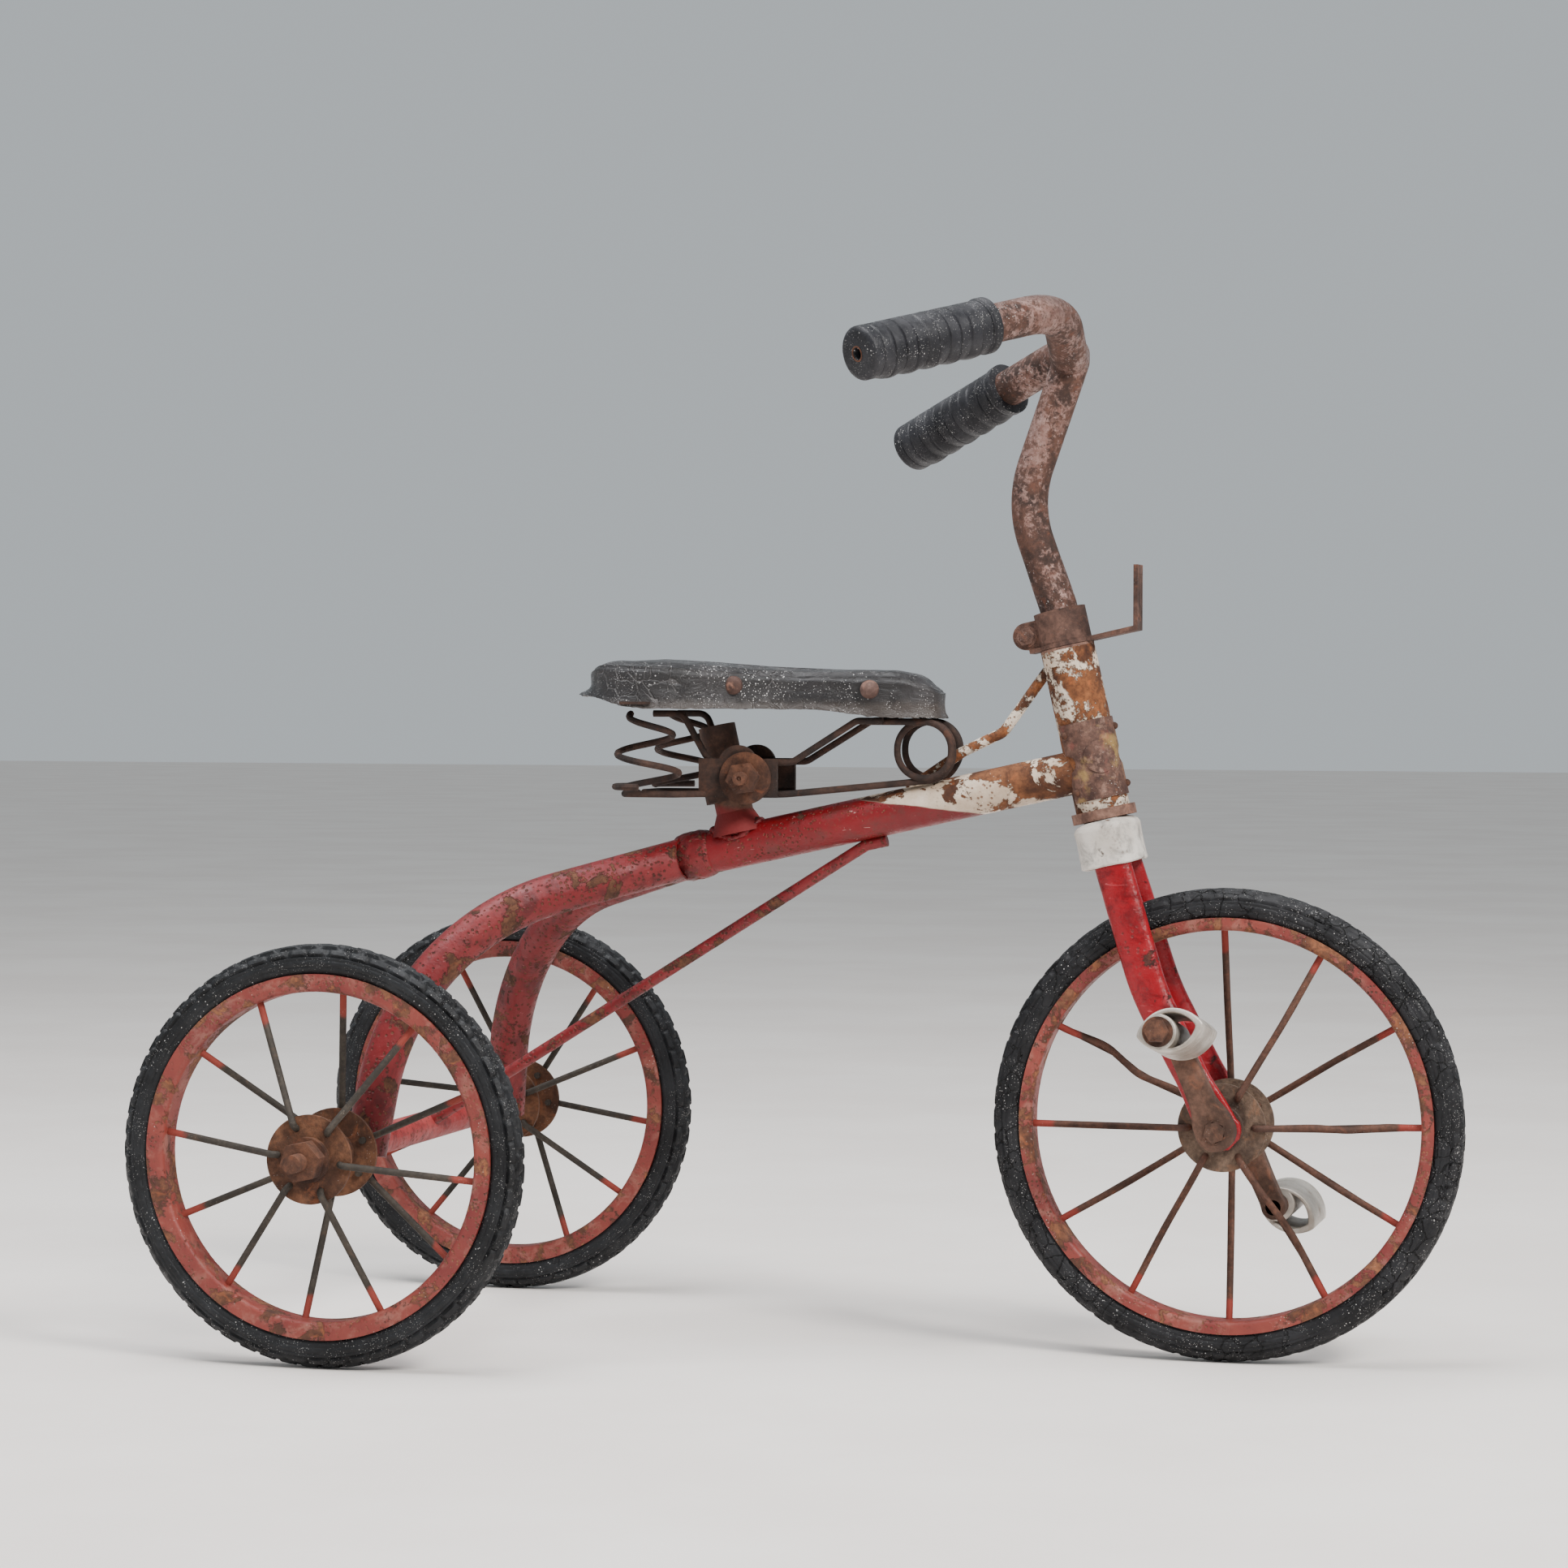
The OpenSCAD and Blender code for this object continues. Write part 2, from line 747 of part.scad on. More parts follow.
// The lamp bracket: a strip round the steerer, with an upright in front
bracket_w = 32;
bracket_front = 41.5;
upright_h = 38;
upright_w = 17;
module lamp_bracket() {
    up = [sin(rake), cos(rake)];
    out = [cos(rake), -sin(rake)];
    heel = [bracket_front, 0];
    strip = [
        [0, 0], heel + bracket_t * out, heel + bracket_t * out + upright_h * up,
        heel + upright_h * up, heel + bracket_t / cos(rake) * up, [0, bracket_t]
    ];
    color(dark_rust)
        on_steering() translate([0, 0, clamp_base - bracket_t]) difference() {
            union() {
                cylinder(h = bracket_t, d = bracket_w);
                translate([-21, -8, 0]) cube([21, 16, bracket_t]);
                rotate([90, 0, 0]) linear_extrude(upright_w, center = true) polygon(strip);
            }
            translate([0, 0, -1]) cylinder(h = bracket_t + 2, d = steerer_d + 0.2);
            translate([bracket_front, 0, 0]) rotate([0, rake, 0])
                for (y = [-4, 0, 4])
                    translate([bracket_t - 0.6, y - 0.6, 6]) cube([2, 1.2, upright_h - 11]);
        }
}

// ---------- handlebar ----------
stem_bend_p = axis_point(stem_bend_z / cos(rake)) - [stem_back, 0, 0];
stem_leave_p = axis_point(clamp_base + clamp_h + 2);
bar_p = stem_bend_p + (bar_z - stem_bend_z) * [tan(stem_lean), 0, 1];
stem_foot = axis_point(clamp_base + clamp_h - stem_inset);
stem_head = bar_p - (bar_d / 2 - 1) * unit(bar_p - stem_bend_p);

module stem() {
    color(rust)
        difference() {
            bent_tube([stem_foot, stem_leave_p, stem_bend_p, stem_head], [60, 68], bar_d, wall);
            on_bar() bent_rod(bar_route(), bar_bends, bar_d);
        }
}

module on_bar() {
    translate(bar_p) rotate([-bar_lean, 0, bar_turn]) children();
}

function grip_dir(side) = [
    -sin(grip_sweep) * cos(grip_drop),
    side * cos(grip_sweep) * cos(grip_drop),
    -sin(grip_drop)
];
function grip_bend_p(side) = [-3, side * bar_reach, bar_rise];
function bar_route() = [
    grip_bend_p(-1) + (grip_start + grip_len - 6) * grip_dir(-1),
    grip_bend_p(-1),
    [0, 0, 0],
    grip_bend_p(1),
    grip_bend_p(1) + (grip_start + grip_len - 6) * grip_dir(1)
];
bar_bends = [46, 40, 46];

module crossbar() {
    color(rust) on_bar() bent_tube(bar_route(), bar_bends, bar_d, wall);
}

// A grip: ten ribs, closed at its end but for a small hole, and finger lobes underneath
module grip(side) {
    ribs = 10;
    pitch = (grip_len - 8) / ribs;
    color(black_rubber)
        on_bar() translate(grip_bend_p(side) + grip_start * grip_dir(side)) aim(grip_dir(side))
            difference() {
                union() {
                    cylinder(h = grip_len, d = grip_d - 1.6);
                    for (i = [0:ribs - 1])
                        translate([0, 0, 4 + i * pitch]) cylinder(h = pitch - 1.6, d = grip_d);
                }
                translate([0, 0, -1]) cylinder(h = grip_len - 5, d = bar_d);
                cylinder(h = far, d = 7);
            }
}

// ---------- cranks and pedals ----------
function crank_point(side) =
    [front_x, 0, front_r] - side * crank_len * [-sin(crank_lean), 0, cos(crank_lean)];

module front_axle() {
    color(rust)
        on_axle(front_x, 0, front_r) {
            cylinder(h = 2 * crank_out, d = front_axle_d, center = true);
            for (s = [0, 1]) mirror([0, 0, s]) translate([0, 0, crank_out - eps])
                rotate([0, 0, 20]) hex(11, 1.6);
        }
}

// The flat outline between two circles that a straight-sided arm follows
function arm_outline(r1, r2, l) =
    let (a = acos((r1 - r2) / l))
    [
        r1 * [cos(a), sin(a)], [l + r2 * cos(a), r2 * sin(a)],
        [l + r2 * cos(a), -r2 * sin(a)], r1 * [cos(a), -sin(a)]
    ];

crank_boss_r = 11.5;
crank_tip_r = 7.2;
module crank(side) {
    // The arm's outline starts along +X, and turns to point at its spindle
    turn = side < 0 ? 90 + crank_lean : crank_lean - 90;
    color(rust)
        on_axle(front_x, side * (crank_in + crank_t / 2), front_r) rotate([0, 0, turn])
            difference() {
                union() {
                    cylinder(h = crank_t, r = crank_boss_r, center = true);
                    translate([0, 0, -crank_t / 2]) linear_extrude(crank_t)
                        polygon(arm_outline(crank_boss_r, crank_tip_r, crank_len));
                    translate([crank_len, 0, 0])
                        cylinder(h = crank_t, r = crank_tip_r, center = true);
                }
                cylinder(h = far, d = front_axle_d, center = true);
                translate([crank_len, 0, 0]) cylinder(h = far, d = spindle_d, center = true);
            }
}

module on_spindle(side) {
    translate(crank_point(side)) rotate([side * -90, 0, 0]) children();
}

// Beyond the crank the right spindle leans upwards
module on_lean(side) {
    translate(crank_point(side) + [0, side * crank_out, 0])
        rotate([side < 0 ? -spindle_lean : 0, 0, 0])
            translate([0, -side * crank_out, 0]) rotate([side * -90, 0, 0]) children();
}

module spindle(side) {
    color(rust)
        union() {
            on_spindle(side) {
                translate([0, 0, crank_in]) cylinder(h = crank_t + 1, d = spindle_d);
                translate([0, 0, crank_out]) cylinder(h = spindle_seat, d = 14);
            }
            on_lean(side) translate([0, 0, crank_out + 1.3])
                cylinder(h = spindle_end + 7 - crank_out - 1.3, d = spindle_d);
        }
}

module spindle_nuts() {
    color(dark_rust)
        for (name = sides)
            on_lean(side_of(name)) translate([0, 0, spindle_end]) difference() {
                union() {
                    cylinder(h = 3, d = 17);
                    translate([0, 0, 3 - eps]) hex(12, 6);
                }
                translate([0, 0, -1]) cylinder(h = 8, d = spindle_d);
            }
}

// A pedal: an oval ring with its spindle sleeve towards one end
sleeve_x = -pedal_w / 2 + pedal_h / 2;
module pedal(side, tilt) {
    sleeve_d = pedal_h - 2 * pedal_wall + 1;
    color(cast_alloy)
        on_lean(side) translate([0, 0, pedal_in])
            rotate([0, 0, -side * tilt]) mirror([0, side < 0 ? 1 : 0, 0]) {
                difference() {
                    translate([-sleeve_x, 0, 0]) linear_extrude(pedal_len) difference() {
                        slot_2d(pedal_w, pedal_h);
                        slot_2d(pedal_w - 2 * pedal_wall, pedal_h - 2 * pedal_wall);
                    }
                    translate([0, 0, -1]) cylinder(h = far, d = sleeve_d - 2);
                }
                difference() {
                    cylinder(h = pedal_len, d = sleeve_d);
                    translate([0, 0, -1])
                        cylinder(h = pedal_len + 2, d = spindle_d + 2 * run_clear);
                }
            }
}

// ---------- saddle ----------
module on_post() {
    translate(post_foot) rotate([0, -post_slant, 0]) children();
}

module clamp_block() {
    color(dark_rust)
        on_post() translate([0, 0, clamp_at]) difference() {
            union() {
                intersection() {
                    cylinder(h = clamp_len, d = post_d + 9, center = true);
                    cube([100, 2 * block_half, 100], center = true);
                }
                translate([bolt_ahead, 0, 0]) rotate([90, 0, 0])
                    cylinder(h = 2 * block_half, d = clamp_len, center = true);
                translate([0, -block_half, -clamp_len / 2])
                    cube([bolt_ahead, 2 * block_half, clamp_len]);
            }
            cylinder(h = far, d = post_d + 2 * run_clear, center = true);
            translate([bolt_ahead, 0, 0]) rotate([90, 0, 0])
                cylinder(h = far, d = bolt_d, center = true);
            translate([bolt_ahead, 0, 0]) cube([2 * bolt_ahead, 2, far], center = true);
        }
}

cheek_out = cheek_in + cheek_t;
module seat_bolt() {
    color(rust)
        translate(bolt_p) rotate([90, 0, 0]) {
            difference() {
                translate([0, 0, -cheek_out - 3]) cylinder(h = 2 * cheek_out + 18, d = bolt_d);
                translate([0, 0, cheek_out + 14]) cylinder(h = 4, d = 3);
            }
            translate([0, 0, -cheek_out - 6]) hex(13, 5.6);
        }
}

module seat_nut() {
    color(rust)
        translate(bolt_p) rotate([90, 0, 0]) translate([0, 0, cheek_out + 0.1]) {
            washer(31, 2.4, bolt_d);
            translate([0, 0, 2.4 - eps]) difference() {
                rotate([0, 0, 8]) hex(17, 7.5);
                translate([0, 0, -1]) cylinder(h = 20, d = bolt_d);
            }
        }
}

// Two pressed plates that hold the four rails against the block
module clamp_cheeks() {
    length = 48;
    height = 23;
    mid = -5;
    color(dark_rust)
        for (s = [-1, 1])
            translate([bolt_p.x, s * (cheek_in + cheek_t / 2), bolt_p.z]) difference() {
                union() {
                    translate([mid, 0, 0]) cube([length, cheek_t, height], center = true);
                    translate([mid, 0, height / 2 - 4]) rotate([90, 0, 0])
                        cylinder(h = cheek_t, r = 12, center = true);
                }
                rotate([90, 0, 0]) cylinder(h = 20, d = bolt_d + 2 * run_clear, center = true);
            }
}

// A lower rail: from the rear loop, past the clamp, round the front coil and up to the nose
function lower_route(side) = [
    [rear_spring_x - 16, side * 6, rear_spring_base],
    [rear_spring_x - 16, side * rear_spring_gap / 2, rear_spring_base],
    [rear_spring_x + 16, side * rear_spring_gap / 2, rear_spring_base],
    [bolt_p.x - 23, side * rail_y, bolt_p.z - rail_drop],
    [bolt_p.x + 22, side * rail_y, bolt_p.z - rail_drop],
    for (i = [0:coil_corners - 1]) coil_corner(side, i),
    [coil_p.x - nose_wire, side * (coil_y + coil_corners * coil_step), coil_p.z + coil_d / 2]
];

// The coil winds round the corners of a square that its bends just fill
coil_corners = 6;
coil_step = (wire_d + 0.6) / 4;
nose_wire = 34;
function coil_corner(side, i) =
    coil_p + [
        (i % 4 < 2 ? 1 : -1) * coil_d / 2,
        side * (coil_y + i * coil_step),
        (i % 4 == 0 || i % 4 == 3 ? -1 : 1) * coil_d / 2
    ];

// A round wire swept along a list of points
module swept(path, d, n) {
    last = len(path) - 1;
    function tangent(i) = unit(path[min(i + 1, last)] - path[max(i - 1, 0)]);
    rings = [
        for (i = [0:last])
            let (
                t = tangent(i),
                a = unit(cross(t, abs(t.z) > 0.9 ? [0, 1, 0] : [0, 0, 1])),
                b = cross(t, a)
            )
            for (j = [0:n - 1])
                path[i] + d / 2 * (cos(j * 360 / n) * a + sin(j * 360 / n) * b)
    ];
    walls = [
        for (i = [0:last - 1], j = [0:n - 1])
            let (k = (j + 1) % n)
            [i * n + j, i * n + k, (i + 1) * n + k, (i + 1) * n + j]
    ];
    caps = [[for (j = [n - 1:-1:0]) j], [for (j = [0:n - 1]) last * n + j]];
    polyhedron(points = rings, faces = concat(walls, caps), convexity = 6);
}

lower_bends = concat([8, 8, 8, 60], [for (i = [1:coil_corners]) coil_d / 2 - 0.6]);
module lower_rails() {
    color(dark_rust)
        for (side = [-1, 1])
            bent_rod(lower_route(side), lower_bends, wire_d);
}

// An upper rail: from under the nose, down to the clamp, and up to the back of the saddle
rail_gap_z = 1.1;
function rail_top(x) = low_z(x) - wire_d / 2 - rail_gap_z;
nose_y = rail_y + 2;
module upper_rails() {
    z = bolt_p.z + rail_lift;
    color(dark_rust)
        for (side = [-1, 1])
            bent_rod([
                [38, side * nose_y, rail_top(30)],
                [22, side * nose_y, rail_top(30)],
                [bolt_p.x + 27, side * rail_y, z],
                [bolt_p.x - 24, side * rail_y, z],
                [bolt_p.x - 38, side * (rail_y + 8), rail_top(bolt_p.x)],
                [bolt_p.x - 56, side * (rail_y + 8), rail_top(bolt_p.x)]
            ], [8, 9, 9, 8], wire_d);
}

spring_top = rail_top(bolt_p.x);
module rear_spring(side) {
    turns = 2.25;
    steps = 84;
    low = rear_spring_base + wire_d + 0.4;
    wide = rear_spring_d / 2;
    path = [
        for (i = [0:steps])
            let (
                k = i / steps,
                a = side * (90 + k * turns * 360),
                r = wide - (wide - 10) * pow(k, 3),
                rise = max(0, k * turns - 0.35) / (turns - 0.35)
            )
            [
                rear_spring_x + r * cos(a),
                side * rear_spring_gap / 2 + r * sin(a),
                low + (spring_top - low) * min(1, rise)
            ]
    ];
    color(dark_rust) swept(path, wire_d, 8);
}

// The saddle's outline from above: wide at the back, narrowing to the nose
function ramp(t) = let (c = min(1, max(0, t))) c * c * (3 - 2 * c);
function half_width(x) =
    nose_w / 2 + (saddle_w - nose_w) / 2 * ramp((0.62 - (x - saddle_back) / saddle_len) / 0.5);
function outline(a, inset) =
    let (
        c = cos(a),
        s = sin(a),
        x = saddle_mid + sign(c) * pow(abs(c), 0.8) * (saddle_len / 2 - inset)
    )
    [x, sign(s) * pow(abs(s), 0.62) * (half_width(x) - inset)];

// Height of the top edge along the saddle: high at the back, a dip, a low nose
function top_z(x) =
    let (t = (x - saddle_back) / saddle_len)
    saddle_z - 6 * ramp((t - 0.15) / 0.5)
        - 8 * pow(max(0, (t - 0.85) / 0.15), 2) - 6 * pow(max(0, (0.07 - t) / 0.07), 2);
function low_z(x) =
    let (t = (x - saddle_back) / saddle_len)
    saddle_z - saddle_side - 3 - 5 * ramp((t - 0.6) / 0.3) + 8 * ramp((0.22 - t) / 0.22);

// One closed ring of the saddle skin: k runs from the lower edge (0) over the top (1)
skin_steps = 48;
skin_rings = 7;
function skin_ring(k, inset, drop) = [
    for (i = [0:skin_steps - 1])
        let (
            a = i * 360 / skin_steps,
            over = max(0, (k - 0.3) / 0.7),
            p = outline(a, inset),
            x = saddle_mid + (p.x - saddle_mid) * (1 - 0.62 * over),
            y = p.y * (1 - 0.93 * over),
            tuck = k < 0.3 ? 3 * pow(1 - k / 0.3, 2) : 0,
            down = k < 0.3 ? 1 - k / 0.3 : 0,
            side = down * (top_z(x) - low_z(x)),
            crown = 3 * (1 - sin(90 * min(1, over * 4)))
        )
        [
            x - tuck * cos(a), y - tuck * sin(a),
            top_z(x) - drop * (1 - down) - side - crown * (1 - down)
        ]
];

// A skin of even thickness: outer rings up and over, inner rings back down
module skin(inset, drop, t) {
    n = skin_steps;
    up = [for (j = [0:skin_rings - 1]) skin_ring(j / (skin_rings - 1), inset, drop)];
    down = [
        for (j = [skin_rings - 1:-1:0]) skin_ring(j / (skin_rings - 1), inset + t, drop + t)
    ];
    rings = concat(up, down);
    count = len(rings);
    points = [for (r = rings) each r];
    walls = [
        for (j = [0:count - 1], i = [0:n - 1])
            let (a = j * n, b = ((j + 1) % count) * n, k = (i + 1) % n)
            if (j != skin_rings - 1) [a + i, b + i, b + k, a + k]
    ];
    lid_up = [for (i = [n - 1:-1:0]) (skin_rings - 1) * n + i];
    lid_down = [for (i = [0:n - 1]) skin_rings * n + i];
    polyhedron(points = points, faces = concat(walls, [lid_up, lid_down]), convexity = 6);
}

module saddle_cover() {
    color(black_rubber) skin(0, 0, cover_t);
}

module saddle_pan() {
    color(dark_rust) skin(cover_t + pan_gap, cover_t + pan_gap, pan_t);
}

// Two cross strips inside the pan's lower edge, which carry it on the front and rear springs
module saddle_bridges() {
    color(dark_rust)
        for (x = [30, rear_spring_x]) {
            half = half_width(x) - cover_t - pan_gap - pan_t - 1;
            z = low_z(x) + 2;
            translate([x - 9, -half, z]) cube([18, 2 * half, 1.6]);
        }
}

// Domed rivets through the side wall, two on each side
rivet_front = 32;
rivet_rear = -47;
module saddle_rivets() {
    color([0.45, 0.3, 0.26])
        for (side = [-1, 1], x = [rivet_front, rivet_rear]) {
            y = side * (half_width(x) * 0.99 - 0.5);
            translate([x, y, top_z(x) - 10.5]) rotate([side * -90, 0, 0]) {
                cylinder(h = 1.6, d = 11);
                translate([0, 0, 1.6 - eps]) intersection() {
                    translate([0, 0, -6]) sphere(r = 8.2);
                    cylinder(h = 4, d = 10.4);
                }
            }
        }
}

// ---------- drawing ----------
head_tube();
head_cup_upper();
head_cup_lower();
head_badge();
badge_rivets();
main_tube();
joint_sleeve();
stay(-1);  // stay_right
stay(1);  // stay_left
axle_tube();
lower_brace();
upper_brace();
seat_post();
rear_axle();
axle_washers();
axle_nuts();
steerer();
fork_collar();
blade_right();
blade_left();
axle_bushes();
stem_clamp();
clamp_bolt();
lamp_bracket();
stem();
crossbar();
grip(-1);  // grip_right
grip(1);  // grip_left
front_wheel_place() tyre(front_r);  // front_tyre
front_wheel_place() rim(front_r, front_rim_base);  // front_rim
front_wheel_place() spokes(front_r, front_rim_base, front_spoke_turn, front_hub_w);  // front_spokes
front_wheel_place() hub(front_axle_d, front_spoke_turn, front_hub_w, front_boss);  // front_hub
front_axle();
crank(-1);  // crank_right
crank(1);  // crank_left
spindle(-1);  // spindle_right
spindle(1);  // spindle_left
spindle_nuts();
pedal(-1, right_pedal_tilt);  // pedal_right
pedal(1, left_pedal_tilt);  // pedal_left
rear_wheel_place(-1) tyre(rear_r);  // rear_tyre_right
rear_wheel_place(-1) rim(rear_r, rear_rim_base);  // rear_rim_right
rear_wheel_place(-1) spokes(rear_r, rear_rim_base, -rear_spoke_turn, hub_w);  // rear_spokes_right
rear_wheel_place(-1) hub(rear_axle_d + 2 * run_clear, -rear_spoke_turn, hub_w, hub_boss);  // rear_hub_right
rear_wheel_place(1) tyre(rear_r);  // rear_tyre_left
rear_wheel_place(1) rim(rear_r, rear_rim_base);  // rear_rim_left
rear_wheel_place(1) spokes(rear_r, rear_rim_base, -rear_spoke_turn, hub_w);  // rear_spokes_left
rear_wheel_place(1) hub(rear_axle_d + 2 * run_clear, -rear_spoke_turn, hub_w, hub_boss);  // rear_hub_left
clamp_block();
seat_bolt();
seat_nut();
clamp_cheeks();
lower_rails();
upper_rails();
rear_spring(-1);  // rear_spring_right
rear_spring(1);  // rear_spring_left
saddle_pan();
saddle_bridges();
saddle_cover();
saddle_rivets();
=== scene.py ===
import math

import bmesh
import bpy
import numpy as np
from mathutils import Matrix, Vector, noise


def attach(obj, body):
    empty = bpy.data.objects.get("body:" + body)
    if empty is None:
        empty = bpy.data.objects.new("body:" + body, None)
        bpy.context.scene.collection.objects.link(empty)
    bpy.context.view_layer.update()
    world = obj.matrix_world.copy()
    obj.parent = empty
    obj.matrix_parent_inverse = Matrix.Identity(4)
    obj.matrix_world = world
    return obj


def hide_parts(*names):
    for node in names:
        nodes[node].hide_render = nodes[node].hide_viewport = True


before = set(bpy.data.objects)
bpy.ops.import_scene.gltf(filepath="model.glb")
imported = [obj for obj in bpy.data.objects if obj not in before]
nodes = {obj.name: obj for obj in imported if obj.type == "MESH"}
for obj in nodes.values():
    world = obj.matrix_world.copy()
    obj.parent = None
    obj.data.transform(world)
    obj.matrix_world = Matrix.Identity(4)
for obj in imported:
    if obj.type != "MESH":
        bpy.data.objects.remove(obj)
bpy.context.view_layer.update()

# ---------- numbers shared with the part, in metres and degrees ----------
RAKE = math.radians(12.9)
FRONT_X, FRONT_R = 0.23875, 0.1375
REAR_X, REAR_R, REAR_Y = -0.25475, 0.1215, 0.166
TYRE_W = 0.021
STEER = Vector((-math.sin(RAKE), 0, math.cos(RAKE)))
AHEAD = Vector((math.cos(RAKE), 0, math.sin(RAKE)))
LEFT = Vector((0, 1, 0))


def on_axis(s):
    """The point on the steering axis at distance s from the ground."""
    return Vector((FRONT_X, 0, 0)) + STEER * s


# ---------- materials ----------
class Graph:
    """A material built up from procedural textures in the row frame."""

    def __init__(self, name):
        self.mat = bpy.data.materials.new(name)
        self.mat.use_nodes = True
        self.tree = self.mat.node_tree
        self.tree.nodes.clear()
        self.where = self.add("ShaderNodeTexCoord", {}, "Object")

    def add(self, kind, inputs, out=0, **props):
        node = self.tree.nodes.new(kind)
        for key, value in props.items():
            setattr(node, key, value)
        for key, value in inputs.items():
            sock = node.inputs[key]
            if isinstance(value, bpy.types.NodeSocket):
                self.tree.links.new(value, sock)
            else:
                sock.default_value = value
        return node.outputs[out] if len(node.outputs) else None

    def noise(self, scale, detail=6.0, rough=0.6, twist=0.0, where=None):
        place = self.where if where is None else where
        return self.add(
            "ShaderNodeTexNoise",
            {"Vector": place, "Scale": scale, "Detail": detail, "Roughness": rough, "Distortion": twist},
        )

    def cells(self, scale, where=None, feature="F1"):
        place = self.where if where is None else where
        return self.add("ShaderNodeTexVoronoi", {"Vector": place, "Scale": scale}, feature=feature)

    def step(self, value, low, high):
        return self.add(
            "ShaderNodeMapRange",
            {"Value": value, "From Min": low, "From Max": high, "To Min": 0.0, "To Max": 1.0},
            interpolation_type="SMOOTHSTEP",
        )

    def op(self, kind, a, b=0.0):
        return self.add("ShaderNodeMath", {0: a, 1: b}, operation=kind)

    def mix(self, fac, a, b):
        sides = [(*c, 1.0) if isinstance(c, tuple) else c for c in (a, b)]
        return self.add("ShaderNodeMix", {0: fac, 6: sides[0], 7: sides[1]}, 2, data_type="RGBA")

    def blend(self, fac, a, b):
        return self.add("ShaderNodeMix", {0: fac, 2: a, 3: b}, 0, data_type="FLOAT")

    def stretched(self, x, y, z):
        return self.add("ShaderNodeMapping", {"Vector": self.where, "Scale": (x, y, z)})

    def scaled(self, value, x, y, z):
        """A vector with the value times a factor along each axis."""
        ways = {key: self.op("MULTIPLY", value, by) for key, by in zip("XYZ", (x, y, z))}
        return self.add("ShaderNodeCombineXYZ", ways)

    def part_of(self, index):
        return self.add("ShaderNodeSeparateXYZ", {"Vector": self.where}, index)

    def upward(self):
        normal = self.add("ShaderNodeNewGeometry", {}, "Normal")
        return self.step(self.add("ShaderNodeSeparateXYZ", {"Vector": normal}, 2), 0.2, 0.95)

    def done(self, color, rough, metal, heights, coat=0.0, gleam=0.5):
        normal = None
        for value, depth in heights:
            inputs = {"Height": value, "Distance": depth, "Strength": 1.0}
            if normal is not None:
                inputs["Normal"] = normal
            normal = self.add("ShaderNodeBump", inputs)
        shade = {"Base Color": color, "Roughness": rough, "Metallic": metal, "Normal": normal}
        shade["Specular IOR Level"] = gleam
        if coat:
            shade["Coat Weight"] = coat
            shade["Coat Roughness"] = 0.25
        surface = self.add("ShaderNodeBsdfPrincipled", shade)
        self.add("ShaderNodeOutputMaterial", {"Surface": surface})
        return self.mat


def rust_color(g, dark, light, scale=1.0):
    """Mottled rust between two tones, with orange blooms and black pits."""
    broad = g.step(g.noise(38 * scale, 8, 0.62, 0.4), 0.36, 0.64)
    fine = g.step(g.noise(260 * scale, 6, 0.7), 0.35, 0.65)
    bloom = g.step(g.noise(90 * scale, 8, 0.65, 0.8), 0.55, 0.7)
    color = g.mix(broad, dark, light)
    color = g.mix(g.op("MULTIPLY", fine, 0.55), color, tuple(c * 0.45 for c in dark))
    return g.mix(g.op("MULTIPLY", bloom, 0.6), color, (light[0] * 1.35, light[1] * 1.02, light[2] * 0.8))


def specks(g, scale, size, cover):
    """Small pale dirt specks: tiny cells, kept only where a broad noise allows them."""
    dots = g.step(g.cells(scale), size * 0.7, size * 0.3)
    where = g.step(g.noise(scale * 0.09, 5, 0.65), 1.05 - cover, 1.17 - cover)
    return g.op("MULTIPLY", dots, where)


def rusty(name, dark, light, shine=0.35, speckle=0.25, depth=0.0006):
    g = Graph(name)
    color = rust_color(g, dark, light)
    pale = specks(g, 650, 0.3, 0.5)
    color = g.mix(g.op("MULTIPLY", pale, speckle), color, (0.62, 0.55, 0.5))
    worn = g.step(g.noise(140, 7, 0.7), 0.58, 0.7)
    rough = g.blend(worn, 0.86, 1 - shine)
    metal = g.blend(worn, 0.15, 0.7)
    height = g.noise(320, 8, 0.7)
    return g.done(color, rough, metal, [(g.noise(70, 6, 0.6), depth), (height, depth * 0.7)])


